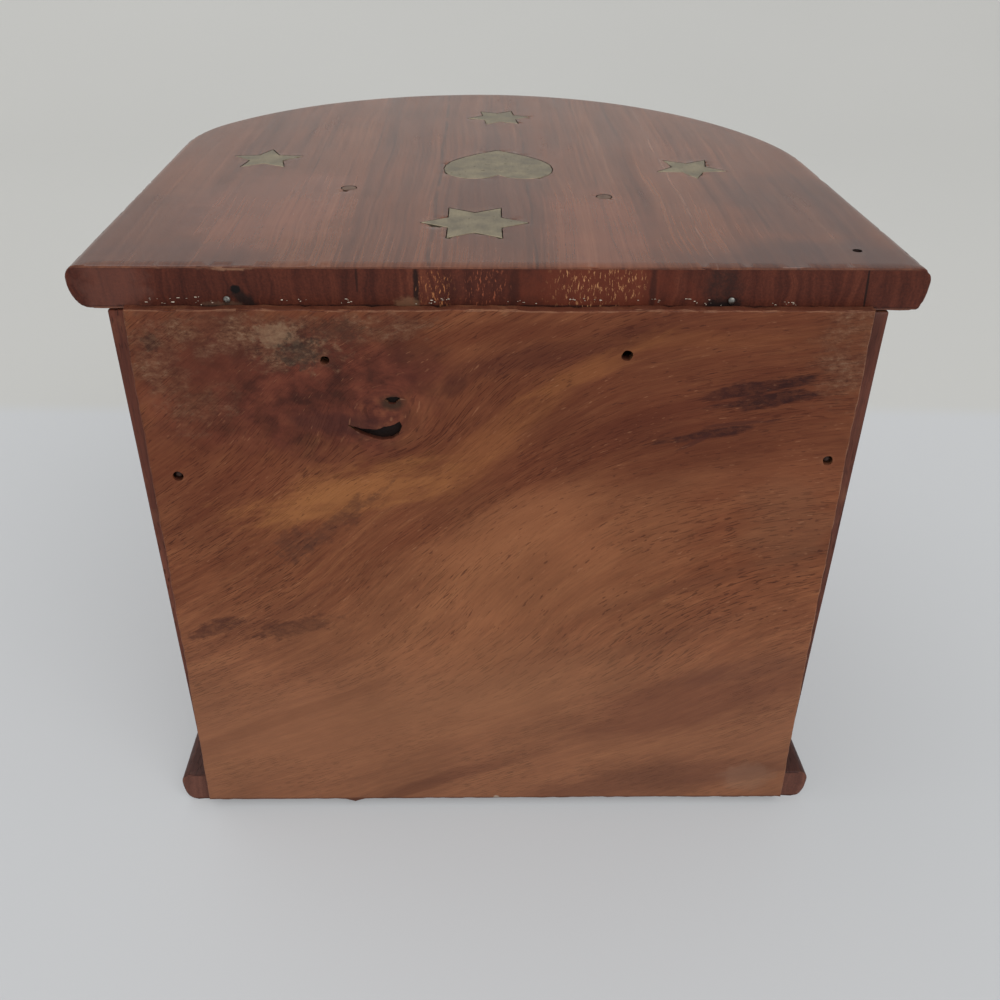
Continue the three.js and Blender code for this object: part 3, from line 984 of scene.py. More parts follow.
ROSEWOOD = Wood((66, 29, 22), (98, 50, 36), (118, 64, 46), (142, 86, 64))
# A darker copy of the rosewood: painted shade for the side wall at the lower x.
ROSEWOOD_IN_PAINTED_SHADE = Wood((52, 23, 18), (77, 39, 29), (94, 50, 37), (116, 69, 52))
TOP_WOOD = Wood((68, 34, 23), (94, 51, 33), (112, 64, 42), (136, 87, 60))
# The base board's wood, darker than its end: painted shade on the base's top face.
BASE_WOOD_IN_PAINTED_SHADE = Wood((40, 20, 17), (58, 30, 25), (74, 40, 32), (96, 58, 46))
END_WOOD = Wood((46, 18, 12), (72, 32, 22), (92, 44, 30), (118, 64, 44))
BASE_END_WOOD = Wood((72, 38, 30), (94, 56, 45), (110, 68, 55), (130, 86, 70))
PANEL_WOOD = Wood((100, 53, 33), (120, 69, 44), (135, 82, 53), (156, 102, 66))
INNER_WOOD = Wood((104, 72, 50), (132, 96, 66), (152, 114, 80), (172, 134, 98))

STAIN = {"softness": 0.6, "ragged": 1.4, "broken": 0.4}
PANEL_MARKS = (
    Mark(-38, 134, 22, 6, (60, 30, 28), 0.55, -8, ragged=0.6, grit=4),
    Mark(-20, 152, 10, 20, (70, 32, 24), 0.4, 10, ragged=0.8, grit=5),
    Mark(-25.4, 139.6, 5.5, 3.6, (46, 34, 24), 0.85, ragged=0.4, grit=2),
    Mark(-79, 155, 3.4, 4.4, (44, 28, 24), 0.7, softness=0.6, ragged=1.2, grit=1.6),
    Mark(-11, 144, 7, 5, (68, 32, 24), 0.6, 30, ragged=0.8, grit=3, streak=2),
    Mark(46, 140, 100, 44, (84, 36, 22), 0.36, 8, softness=1.2, ragged=0.8, grit=16, streak=2),
    Mark(-70, 118, 36, 30, (96, 44, 28), 0.3, softness=1.2, ragged=0.8, grit=16),
    Mark(14, 153, 56, 6, (74, 32, 24), 0.5, 12, ragged=0.9, grit=5, streak=4),
    Mark(0, 157, 40, 5, (92, 42, 26), 0.4, 3, ragged=0.9, grit=5, streak=4),
    Mark(60, 143.5, 29, 3.6, (52, 23, 20), 0.95, 11, grit=2.2, streak=5, **STAIN),
    Mark(64, 140.5, 24, 3.2, (52, 23, 20), 0.95, 9, grit=2.2, streak=5, **STAIN),
    Mark(51, 131.8, 21, 2.8, (54, 24, 21), 0.9, 11, grit=1.8, streak=5, **STAIN),
    Mark(47, 129.0, 8, 1.2, (70, 34, 28), 0.6, 32, softness=0.6, ragged=1.2, grit=1.5, streak=4),
    Mark(58, 134.4, 16, 1.0, (72, 36, 28), 0.6, 4, softness=0.6, ragged=1.4, grit=1.5, streak=5),
    Mark(4, 104, 46, 17, (156, 100, 66), 0.5, 28, softness=1.3, ragged=1, grit=6, streak=4),
    Mark(36, 134, 44, 8, (84, 38, 26), 0.28, 24, ragged=1, grit=5, streak=4),
    Mark(20, 148, 32, 5, (160, 102, 58), 0.34, 28, softness=1.3, ragged=1.4, grit=3, streak=5),
    Mark(-4, 127, 34, 9, (158, 100, 58), 0.3, 42, softness=1.3, ragged=1.4, grit=3.4, streak=5),
    Mark(-36, 115, 46, 11, (168, 110, 64), 0.5, 14, softness=1.3, ragged=1.4, grit=3.4, streak=4),
    Mark(-48, 110, 30, 6, (166, 110, 64), 0.3, 26, softness=1.3, ragged=1.4, grit=3, streak=4),
    Mark(40, 155.5, 40, 4, (146, 90, 52), 0.2, 2, softness=1.3, ragged=1.3, grit=4, streak=5),
    Mark(66, 118, 50, 12, (128, 76, 50), 0.35, 8, ragged=1, grit=6, streak=3),
    Mark(-40, 106, 28, 5, (80, 46, 34), 0.6, 42, softness=0.6, ragged=1.6, grit=2.6, streak=2, broken=0.5),
    Mark(-52, 99, 11, 9, (78, 48, 37), 0.5, 50, softness=0.6, ragged=1.6, grit=2.4, broken=0.5),
    Mark(-76, 71.5, 15, 5, (72, 38, 30), 0.75, 22, grit=2.2, streak=2, **STAIN),
    Mark(
        -55, 71.5, 24, 5.4, (74, 40, 30), 0.75, 12, softness=0.6, ragged=1.5, grit=2.2, streak=2, broken=0.4
    ),
    Mark(-62, 74, 52, 4, (98, 54, 37), 0.36, 30, ragged=1, grit=5, streak=4),
    Mark(-30, 66, 84, 4, (108, 64, 44), 0.3, 24, ragged=1, grit=5, streak=5),
    Mark(-58, 39, 74, 4, (106, 64, 45), 0.4, 24, ragged=0.9, grit=5, streak=5),
    Mark(26, 60, 100, 5, (110, 68, 48), 0.3, 20, ragged=1, grit=6, streak=5),
    Mark(40, 82, 90, 4, (102, 60, 41), 0.34, 20, ragged=1, grit=6, streak=5),
    Mark(58, 43, 66, 20, (96, 54, 41), 0.5, 14, ragged=0.8, grit=7, streak=4),
    Mark(70, 56, 40, 8, (98, 60, 46), 0.4, 14, ragged=0.8, grit=6, streak=4),
    Mark(-14, 13, 42, 5, (96, 56, 42), 0.45, 24, ragged=1, grit=5, streak=4),
    Mark(50, 12, 76, 13, (98, 60, 46), 0.55, 10, ragged=0.8, grit=7, streak=4),
    Mark(-30, 38, 120, 36, (150, 100, 70), 0.34, 16, softness=1.3, ragged=0.9, grit=10, streak=3),
    Mark(2, 46, 60, 18, (158, 108, 76), 0.3, 14, softness=1.3, ragged=1.2, grit=6, streak=4),
    Mark(2, 84, 92, 38, (154, 101, 68), 0.42, 24, softness=1.3, ragged=1, grit=8, streak=4),
    Mark(74, 104, 22, 26, (124, 84, 60), 0.3, ragged=0.9, grit=8, streak=2),
    Mark(76, 12, 15, 11, (146, 114, 94), 0.28, softness=0.7, ragged=0.7, grit=5),
    Mark(0, 3.4, 1.8, 1.8, (190, 176, 160), 0.8, ragged=0.4, grit=1),
)

PANEL_BURL = (
    Mark(-38, 143, 44, 34, None, 0.9, ragged=0.7, grit=11),
    Mark(-66, 146, 36, 38, None, 0.62, ragged=0.9, grit=9),
)

PANEL_CRUST = (
    Mark(-60, 156.5, 38, 9, None, 0.75, softness=1, ragged=1.7, grit=5),
    Mark(-48, 153.5, 20, 10, None, 0.8, softness=0.7, ragged=1.8, grit=3.4),
    Mark(-78, 151, 12, 20, None, 0.5, softness=0.9, ragged=2.2, grit=5),
    Mark(-30, 158.5, 26, 6, None, 0.45, softness=0.9, ragged=2, grit=4),
    Mark(-70, 138, 16, 10, None, 0.3, 30, softness=0.9, ragged=2, grit=4),
    Mark(81, 153, 15, 24, None, 0.5, softness=1, ragged=1.5, grit=5),
)

PANEL_SPOTS = (
    Mark(-50.5, 156.3, 9.5, 6, (150, 122, 96), 0.5, softness=0.8, ragged=1.6, grit=1.5, broken=0.4),
    Mark(-46.5, 152.5, 9.5, 7, (48, 38, 32), 0.75, softness=0.8, ragged=1.6, grit=1.4, broken=0.4),
    Mark(-37, 158.0, 12, 5, (56, 38, 30), 0.55, softness=0.8, ragged=1.5, grit=1.5, broken=0.4),
    Mark(-66, 150.0, 22, 10, (84, 38, 28), 0.4, softness=1, ragged=1.4, grit=3),
)

END_MARKS_AND_SEAM_SHADE = (
    Mark(0, 167, 26, 16, (58, 26, 20), 0.4, ragged=0.8, grit=3),
    Mark(-86, 167, 14, 16, (112, 74, 64), 0.4, ragged=0.8, grit=3),
    Mark(22, 167, 38, 14, (104, 46, 28), 0.6, ragged=1, grit=5),
    Mark(-60, 171.5, 10, 1.3, (146, 106, 82), 0.85, ragged=1, grit=1.4),
    Mark(-74, 171.6, 6, 0.7, (132, 90, 66), 0.7, ragged=0.8, grit=1.5),
    Mark(-35, 171.6, 5, 0.8, (132, 90, 66), 0.7, ragged=0.8, grit=1.5),
    Mark(-62, 162.6, 9, 1.8, (104, 84, 68), 0.5, ragged=1, grit=1.4),
    Mark(-57.4, 164.0, 6, 3.0, (26, 17, 15), 0.85, -38, ragged=0.7, grit=1.6),
    Mark(-59.0, 166.4, 2.2, 2.0, (10, 7, 7), 0.97, softness=0.5, ragged=0.5, grit=1),
    Mark(49.5, 167.5, 8.0, 13, (38, 25, 22), 0.7, softness=1.3, ragged=0.9, grit=2, broken=0.3),
    Mark(50.4, 162.8, 9.0, 3.4, (16, 10, 10), 0.88, ragged=0.9, grit=1.6),
    Mark(-18.9, 167, 1.3, 12, (26, 12, 9), 0.9, ragged=0.5, grit=2),
    Mark(-32, 169, 0.6, 6, (36, 17, 13), 0.7, ragged=0.6, grit=2),
    Mark(82, 167, 0.5, 13, (24, 12, 10), 0.85, 3, ragged=0.4, grit=2),
    Mark(34, 167, 1.4, 12, (38, 18, 14), 0.6, ragged=0.6, grit=2),
    Mark(3, 167, 2.4, 12, (38, 17, 13), 0.55, ragged=0.7, grit=3),
    # Painted shade: a thin dark line along the foot of the end face, in the corner over the panel's top.
    Mark(0, 162.4, 172, 0.9, (24, 12, 10), 0.8, ragged=0.9, grit=2.4),
    Mark(-21, 163.2, 5, 3, (126, 92, 68), 0.6, ragged=1, grit=1.4),
)

END_SCRATCHES = (
    Mark(-14.5, 166.8, 7, 9, (188, 122, 76), 0.8, ragged=0.9, grit=2),
    Mark(-3, 167.2, 9, 9, (172, 96, 66), 0.6, ragged=1, grit=2),
    Mark(20, 167.2, 15, 10, (196, 142, 96), 0.8, ragged=1.1, grit=2.4),
    Mark(29, 168.6, 6, 8, (196, 142, 96), 0.6, ragged=1.2, grit=2),
)

TOP_MARKS = (
    Mark(80, 45, 40, 60, (58, 40, 40), 0.4, ragged=0.8, grit=14),
    Mark(-84, 30, 24, 50, (64, 38, 36), 0.35, ragged=0.8, grit=14),
    Mark(0, 60, 26, 110, (66, 42, 38), 0.3, ragged=0.6, grit=14),
    Mark(-76, 5, 52, 22, (66, 42, 40), 0.4, ragged=0.7, grit=12),
    Mark(72, 5, 56, 26, (56, 38, 40), 0.5, ragged=0.7, grit=12),
    Mark(-58, 46, 40, 56, (140, 90, 74), 0.34, ragged=0.7, grit=14),
    Mark(24, 30, 24, 60, (132, 78, 60), 0.3, ragged=0.9, grit=12),
)

TOP_LINES = (
    Line(-16.0, 0.7, (44, 24, 20), 0.6),
    Line(8.0, 0.5, (48, 28, 24), 0.5),
    Line(48.0, 0.3, (150, 116, 100), 0.3),
    Line(-36.0, 0.4, (54, 30, 25), 0.35),
    Line(66.0, 0.6, (50, 28, 26), 0.4),
    Line(-70.0, 0.5, (54, 30, 26), 0.35),
    Line(27.0, 0.5, (50, 28, 25), 0.35),
    Line(-52.0, 0.4, (56, 32, 26), 0.35),
)

TOP_GRAIN = Grain(band=6.0, band_length=170.0, streak=0.9, streak_length=70.0, pore=0.26, pore_length=4.0)
PANEL_GRAIN = Grain(
    band_length=90.0,
    streak=1.7,
    streak_length=18.0,
    fibre=0.34,
    fibre_length=6.0,
    pore=0.3,
    pore_length=3.6,
    pore_share=0.62,
)
FINISHES = {
    "top": BoardFinish(
        "polished_top",
        TOP_WOOD,
        grain=TOP_GRAIN,
        roughness=0.22,
        contrast=0.3,
        pore_strength=0.2,
        fineness=0.5,
        relief_depth=0.008,
        marks=TOP_MARKS,
        lines=TOP_LINES,
    ),
    "base": BoardFinish("dull_base_in_painted_shade", BASE_WOOD_IN_PAINTED_SHADE, roughness=0.5, gloss=0.25),
    "end": EndFinish(
        "sawn_end", END_WOOD, roughness=0.6, gloss=0.2, marks=END_MARKS_AND_SEAM_SHADE, scratches=END_SCRATCHES
    ),
    "base_end": EndFinish("base_end", BASE_END_WOOD, roughness=0.6, gloss=0.25),
    "wall": WoodFinish("wall_rosewood", ROSEWOOD, Lie.UPRIGHT, roughness=0.5, gloss=0.25),
    "wall_in_painted_shade": WoodFinish("wall_in_painted_shade", ROSEWOOD_IN_PAINTED_SHADE, Lie.UPRIGHT, roughness=0.5, gloss=0.25),
    "panel": PanelFinish(
        "panel_sheesham",
        PANEL_WOOD,
        grain=PANEL_GRAIN,
        roughness=0.55,
        wave=1.4,
        contrast=0.7,
        gloss=0.16,
        fineness=0.56,
        pore_colour=(56, 27, 18),
        pore_strength=0.6,
        marks=PANEL_MARKS,
        burl=PANEL_BURL,
        crust=PANEL_CRUST,
        spots=PANEL_SPOTS,
    ),
    "front": WoodFinish(
        "front_rosewood",
        ROSEWOOD,
        Lie.SIDE_TO_SIDE,
        roughness=0.36,
        fineness=0.5,
        relief_depth=0.03,
        layering=0.1,
    ),
    "side": WoodFinish("plain_side_wood", INNER_WOOD, Lie.ON_EDGE, roughness=0.7),
    "floor": WoodFinish("plain_floor_wood", INNER_WOOD, Lie.FLAT, roughness=0.7),
    "inlay": MetalFinish("inlay_brass", (158, 146, 122), (126, 116, 98), (92, 80, 62), 0.42, 0.75, 5.0),
    "plug": MetalFinish("dull_plug", (118, 96, 80), (92, 66, 54), (70, 46, 38), 0.5, 0.3, 2.0),
    "knob": MetalFinish("knob_brass", (196, 158, 88), (150, 116, 62), (92, 66, 36), 0.3, 1.0, 4.0),
    "iron": MetalFinish("nail_iron", (156, 156, 150), (92, 90, 86), (70, 52, 44), 0.4, 0.9, 0.7),
    "rust": MetalFinish("rusted_iron", (74, 52, 44), (44, 30, 26), (90, 52, 34), 0.65, 0.4, 1.0),
    "filler": PlainFinish("dark_filler", (48, 31, 27), (28, 18, 16)),
    "glue": PlainFinish("old_glue", (206, 192, 174), (150, 130, 110)),
    "felt": FeltFinish("red_felt", (128, 24, 34), (92, 14, 24), (176, 96, 96)),
    "sheet": SheetFinish("pale_sheet", (202, 204, 206), (201, 201, 198), -165.0, 9.0),
}


@functools.cache
def material(name: str) -> Material:
    """The material of a finish, made when it is first asked for."""
    return FINISHES[name].material()


@dataclass(frozen=True)
class Wear:
    """How far hand work and use have moved a surface from its true shape."""

    wobble: float = 0.12
    reach: float = 24.0
    ripple: float = 0.03
    ripple_reach: float = 3.0
    chip: float = 0.0
    chip_reach: float = 2.2
    chip_floor: float = 0.18
    seed: float = 0.0

    def moved(self, point: Vector, normal: Vector, sharp: bool) -> Vector:
        """Where a worn point lies, always inside its true place.

        Args:
            point: The point, in millimetres.
            normal: The surface's normal there.
            sharp: Whether the point is on a softened edge, which may be chipped.

        Returns:
            The moved point.
        """
        offset = Vector((self.seed, self.seed * 0.7, self.seed * 1.3))
        slow = 0.5 + 0.5 * noise.noise(point / self.reach + offset)
        quick = 0.5 + 0.5 * noise.noise(point / self.ripple_reach + offset)
        depth = self.wobble * slow + self.ripple * quick
        if sharp and self.chip:
            bite = noise.noise(point / self.chip_reach + offset * 2) - self.chip_floor
            depth += self.chip * max(0.0, bite) * 2
        return point - normal * depth


class Stock:
    """A mesh on the bench, in millimetres: it is cut, softened and worn, and then fitted."""

    def __init__(self, name: str) -> None:
        """Starts with nothing."""
        self.name = name
        self.mesh = bmesh.new()

    @classmethod
    def from_node(cls, name: str, node: str) -> "Stock":
        """A copy of a CAD node's solid with its flat faces made whole.

        Args:
            name: The piece's name.
            node: The CAD node.

        Returns:
            The copy.
        """
        stock = cls(name)
        mesh = stock.mesh
        mesh.from_mesh(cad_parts[node].data)
        mesh.transform(Matrix.Scale(1 / MM, 4))
        bmesh.ops.remove_doubles(mesh, verts=mesh.verts, dist=0.001)
        flat = math.radians(0.8)
        bmesh.ops.dissolve_limit(mesh, angle_limit=flat, verts=mesh.verts, edges=mesh.edges)
        return stock

    @classmethod
    def planed(
        cls, node: str, softness: float, steps: Place, segments: int = 2, least_length: float = 4.0
    ) -> "Stock":
        """A CAD node's solid as a wooden piece, with its edges softened.

        Args:
            node: The CAD node.
            softness: The width of its softened edges.
            steps: How finely it is divided along each axis to be worn, or 0.
            segments: The number of faces across a softened edge.
            least_length: The length under which an edge stays sharp.

        Returns:
            The piece, ready to be worn.
        """
        stock = cls.from_node(f"{node}_wood", node)
        stock.soften(softness, segments, least_length)
        stock.divide(steps)
        return stock

    def ring(self, points: Iterable[Place]) -> list[bmesh.types.BMVert]:
        """Adds points as vertices."""
        return [self.mesh.verts.new(point) for point in points]

    def bridge(self, low: Sequence, high: Sequence, closed: bool = True) -> None:
        """Adds a band of quads, facing out for a rising outline.

        Args:
            low: The lower ring of vertices.
            high: The upper ring.
            closed: Whether the band runs from the last vertices on to the first.
        """
        count = len(low)
        for i in range(count if closed else count - 1):
            j = (i + 1) % count
            self.mesh.faces.new((low[i], low[j], high[j], high[i]))

    def skin(self, rings: Sequence[Sequence]) -> None:
        """Adds the bands of quads through rings of vertices, from each to the next."""
        for low, high in zip(rings, rings[1:], strict=False):
            self.bridge(low, high)

    def turn(
        self, profile: Sequence[Flat], steps: int, placed: Callable[[float, float, float], Sequence[float]]
    ) -> None:
        """Adds a turned form.

        Args:
            profile: Each ring's radius and its distance along the axis.
            steps: The number of points round it.
            placed: Gives the place of a point from its radius, angle and distance.
        """
        angles = [math.tau * i / steps for i in range(steps)]
        self.skin([self.ring(placed(radius, a, distance) for a in angles) for radius, distance in profile])
        self.weld()

    def cap(
        self,
        outline: Sequence[Flat],
        holes: Sequence[Sequence[Flat]],
        step: float,
        placed: Callable[[float, float], Place],
    ) -> None:
        """Adds a flat face with holes, divided finely enough to be worn.

        Args:
            outline: The face's rim, counter-clockwise.
            holes: The rims of its holes.
            step: The spacing of the points inside it.
            placed: Gives the place of a flat point.
        """
        points = [Vector(point) for point in outline]
        edges = [(i, (i + 1) % len(outline)) for i in range(len(outline))]
        for hole in holes:
            start = len(points)
            points += [Vector(point) for point in hole]
            edges += [(start + i, start + (i + 1) % len(hole)) for i in range(len(hole))]
        low = [min(point[axis] for point in outline) for axis in (0, 1)]
        high = [max(point[axis] for point in outline) for axis in (0, 1)]
        for row in range(1, int((high[1] - low[1]) / step)):
            for column in range(1, int((high[0] - low[0]) / step)):
                shift = 0.5 * (row % 2) + 0.013 * math.sin(row * 3 + column)
                points.append(Vector((low[0] + (column + shift) * step, low[1] + row * step)))
        flat, _, triangles, *_ = geometry.delaunay_2d_cdt(points, edges, [], 1, 1e-5)
        corners = self.ring(placed(*point) for point in flat)
        for triangle in triangles:
            middle = sum((flat[i] for i in triangle), Vector((0, 0))) / 3
            if not any(encloses(hole, middle) for hole in holes):
                self.mesh.faces.new([corners[i] for i in triangle])
        loose = [vert for vert in corners if not vert.link_faces]
        bmesh.ops.delete(self.mesh, geom=loose, context="VERTS")

    def weld(self) -> None:
        """Joins the vertices of faces that meet, and turns all faces outwards."""
        bmesh.ops.remove_doubles(self.mesh, verts=self.mesh.verts, dist=0.0005)
        bmesh.ops.recalc_face_normals(self.mesh, faces=self.mesh.faces)

    def soften(
        self,
        width: float,
        segments: int = 2,
        least_length: float = 2.0,
        least_angle: float = 35.0,
        behind: float | None = None,
    ) -> None:
        """Rounds the sharp edges, apart from those round small holes.

        Args:
            width: The width of the rounding.
            segments: The number of faces across it.
            least_length: The length under which an edge stays sharp.
            least_angle: The angle, in degrees, from which an edge is sharp.
            behind: Where it is given, only edges that lie behind this y are rounded.
        """
        sharp = [
            edge
            for edge in self.mesh.edges
            if len(edge.link_faces) == 2
            and edge.calc_face_angle() > math.radians(least_angle)
            and edge.calc_length() > least_length
            and (behind is None or all(vert.co.y > behind for vert in edge.verts))
        ]
        options = {"offset": width, "segments": segments, "profile": 0.5, "affect": "EDGES"}
        bmesh.ops.bevel(self.mesh, geom=sharp, **options)

    def divide(self, steps: Place) -> None:
        """Cuts the mesh across at even steps.

        Args:
            steps: The step along each axis, or 0 for no cuts.
        """
        corners = [vert.co for vert in self.mesh.verts]
        for axis, step in enumerate(steps):
            if not step:
                continue
            low = min(corner[axis] for corner in corners)
            high = max(corner[axis] for corner in corners)
            count = max(1, round((high - low) / step))
            normal = Vector((0, 0, 0))
            normal[axis] = 1
            for i in range(1, count):
                place = normal * (low + (high - low) * (i + OFF_CORNERS) / count)
                parts = [*self.mesh.verts, *self.mesh.edges, *self.mesh.faces]
                bmesh.ops.bisect_plane(self.mesh, geom=parts, dist=1e-4, plane_co=place, plane_no=normal)

    def wear(self, wear: Wear) -> None:
        """Moves every vertex inwards.

        Args:
            wear: How far.
        """
        self.mesh.normal_update()
        moved = []
        for vert in self.mesh.verts:
            sharp = max(abs(part) for part in vert.normal) < 0.93
            moved.append(wear.moved(vert.co, vert.normal, sharp))
        for vert, place in zip(self.mesh.verts, moved, strict=True):
            vert.co = place

    def as_object(self, finishes: Sequence[str]) -> Object:
        """Makes the object, in metres.

        Args:
            finishes: The names of its finishes, in the order of its material indices.

        Returns:
            The object.
        """
        self.mesh.transform(Matrix.Scale(MM, 4))
        data = bpy.data.meshes.new(self.name)
        self.mesh.to_mesh(data)
        self.mesh.free()
        data.polygons.foreach_set("use_smooth", [True] * len(data.polygons))
        for finish in finishes:
            data.materials.append(material(finish))
        made = bpy.data.objects.new(self.name, data)
        bpy.context.scene.collection.objects.link(made)
        log.info("%s: %d faces", self.name, len(data.polygons))
        return made

    def fitted(
        self,
        body: Body,
        slot: Slot | None,
        finishes: Sequence[str],
        replaces: Sequence[str] = (),
        smooth: float = 32.0,
    ) -> Object:
        """Makes the finished piece.

        Args:
            body: The body that it rides on.
            slot: The record's slot, or None; not used.
            finishes: The names of its finishes, in the order of its material indices.
            replaces: The CAD nodes that it stands for.
            smooth: Faces that meet at less than this angle, in degrees, shade as one.

        Returns:
            The piece.
        """
        piece = self.as_object(finishes)
        piece.data.set_sharp_from_angle(angle=math.radians(smooth))
        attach(piece, body.value)
        if replaces:
            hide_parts(*replaces)
        return piece


def arc(centre: Flat, radius: float, start: float, end: float, step: float) -> list[Flat]:
    """Points along an arc, both ends included.

    Args:
        centre: The arc's centre.
        radius: Its radius.
        start: The angle where it starts, in radians.
        end: The angle where it ends.
        step: The longest distance between two points.

    Returns:
        The points.
    """
    count = max(2, math.ceil(abs(end - start) * radius / step))
    angles = [start + (end - start) * i / count for i in range(count + 1)]
    return [(centre[0] + radius * math.cos(a), centre[1] + radius * math.sin(a)) for a in angles]


def stepped(corners: Sequence[Flat], step: float) -> list[Flat]:
    """A closed outline with even points between its corners.

    Args:
        corners: The corners.
        step: The longest distance between two points.

    Returns:
        The corners and the points between them.
    """
    points = []
    for start, end in zip(corners, [*corners[1:], corners[0]], strict=True):
        count = max(1, math.ceil(math.dist(start, end) / step))
        points += [
            (start[0] + (end[0] - start[0]) * i / count, start[1] + (end[1] - start[1]) * i / count)
            for i in range(count)
        ]
    return points


def between(points: Sequence[Flat], place: float) -> float:
    """Reads a line that runs straight from point to point.

    Args:
        points: The points, as places and heights, by growing place.
        place: The place to read.

    Returns:
        The height there.
    """
    for (start, low), (end, high) in zip(points, points[1:], strict=False):
        if place <= end:
            return low + (high - low) * (place - start) / (end - start)
    return points[-1][1]


def encloses(rim: Sequence[Flat], point: Vector) -> bool:
    """Whether a flat point lies inside a closed rim.

    Args:
        rim: The rim's points.
        point: The point.

    Returns:
        True where it lies inside.
    """
    xs, ys = [x for x, _ in rim], [y for _, y in rim]
    if not (min(xs) < point.x < max(xs) and min(ys) < point.y < max(ys)):
        return False
    inside = False
    for (ax, ay), (bx, by) in zip(rim, [*rim[1:], rim[0]], strict=True):
        if (ay > point.y) != (by > point.y) and point.x < (bx - ax) * (point.y - ay) / (by - ay) + ax:
            inside = not inside
    return inside


def grown(outline: Sequence[Flat], distance: float) -> list[Flat]:
    """Moves an outline outwards, or inwards.

    Args:
        outline: The outline, counter-clockwise.
        distance: How far outwards, or below 0 inwards.

    Returns:
        As many points, moved.
    """
    points = [Vector(point) for point in outline]
    moved = []
    for i, point in enumerate(points):
        edges = (point - points[i - 1], points[(i + 1) % len(points)] - point)
        normals = [Vector((edge.y, -edge.x)).normalized() for edge in edges]
        scale = distance / max(0.35, 1 + normals[0].dot(normals[1]))
        moved.append(tuple(point + (normals[0] + normals[1]) * scale))
    return moved


@dataclass
class Plan:
    """The boards' shape seen from above, with its places worked out from the top board."""

    bow_from_back: float = 80.8
    bow_shift: float = 3.2
    right_corner: float = 49.0
    left_corner: float = 79.0
    left_taper: float = 5.3
    step: float = 2.0

    def __post_init__(self) -> None:
        """Takes the board's size from the frame."""
        low, high = box_of("base_board")
        self.back = high.y
        self.front = low.y
        self.half = high.x
        self.bow = (self.bow_shift, self.back - self.bow_from_back)
        self.radius = self.bow[1] - self.front

    def corner(self, side: int, radius: float) -> Vector:
        """The centre of a rounded corner, which touches the side and the bow from inside.

        Args:
            side: -1 for the corner at the lower x, otherwise 1.
            radius: The corner's radius.

        Returns:
            The centre.
        """
        x = side * (self.half - radius)
        reach = self.radius - radius
        return Vector((x, self.bow[1] - math.sqrt(reach**2 - (x - self.bow[0]) ** 2)))

    def outline(self, inset: float) -> list[Flat]:
        """The outline drawn in by an inset at the sides and front, counter-clockwise.

        Args:
            inset: How far it is drawn in.

        Returns:
            As many points for each inset, starting at the left end of the back edge.
        """
        bow = Vector(self.bow)
        left, right = self.corner(-1, self.left_corner), self.corner(1, self.right_corner)
        left_angle = math.atan2(*(left - bow).yx) % math.tau
        right_angle = math.atan2(*(right - bow).yx) % math.tau
        half = self.half - inset
        sides = [self.shares(self.back - corner.y) for corner in (left, right)]
        arcs = (
            (left, self.left_corner, math.pi, left_angle),
            (bow, self.radius, left_angle, right_angle),
            (right, self.right_corner, right_angle, math.tau),
        )
        points = [(-half, self.back + (left.y - self.back) * share) for share in sides[0]]
        for centre, radius, start, end in arcs:
            for share in self.shares(radius * (end - start)):
                angle = start + (end - start) * share
                reach = radius - inset
                points.append((centre.x + reach * math.cos(angle), centre.y + reach * math.sin(angle)))
        points += [(half, right.y + (self.back - right.y) * share) for share in sides[1]]
        points += [(half - 2 * half * share, self.back) for share in self.shares(2 * self.half)]
        lean = self.left_taper / 100 / self.half
        return [(x * (1 - lean * (self.back - y)) if x < 0 else x, y) for x, y in points]

    def leaning_outline(self, left: float, right: float) -> list[Flat]:
        """The outline drawn in by two insets, each at its own side.

        Args:
            left: The inset at the left, as seen from behind.
            right: The inset at the right.

        Returns:
            As many points for each pair of insets.
        """
        points = []
        for (ax, ay), (bx, by) in zip(self.outline(right), self.outline(left), strict=True):
            share = min(1.0, max(0.0, 0.5 + ax / (2 * self.half)))
            points.append((ax + (bx - ax) * share, ay + (by - ay) * share))
        return points

    def shares(self, length: float) -> list[float]:
        """Even shares of a length from 0, a step apart, without its far end."""
        count = math.ceil(length / self.step)
        return [i / count for i in range(count)]


@dataclass
class Nose:
    """The rounded edge of a board: how far its furthest point lies below the top face, its depth
    above and below that point, and the share of the lower depth that the right side keeps."""

    rise: float
    upper: float
    lower: float
    right_share: float = 1.0
    steps: int = 8

    def levels(self, low: float, high: float) -> list[tuple[float, float, float]]:
        """The rings that a board is made of.

        Args:
            low: The height of its underside.
            high: The height of its top face.

        Returns:
            Each ring's inset at the left, its inset at the right and its height, from the underside up.
        """
        furthest = high - self.rise
        levels = []
        for step in range(-self.steps, self.steps + 1):
            angle = math.pi / 2 * step / self.steps
            inset = (self.lower if step < 0 else self.upper) * (1 - math.cos(angle))
            height = furthest - low if step < 0 else self.rise
            share = self.right_share if step < 0 else 1.0
            levels.append((inset, inset * share, furthest + height * math.sin(angle)))
        return levels


@dataclass
class Recess:
    """A hole in a board's top face: its rim and depth."""

    rim: list[Flat]
    depth: float


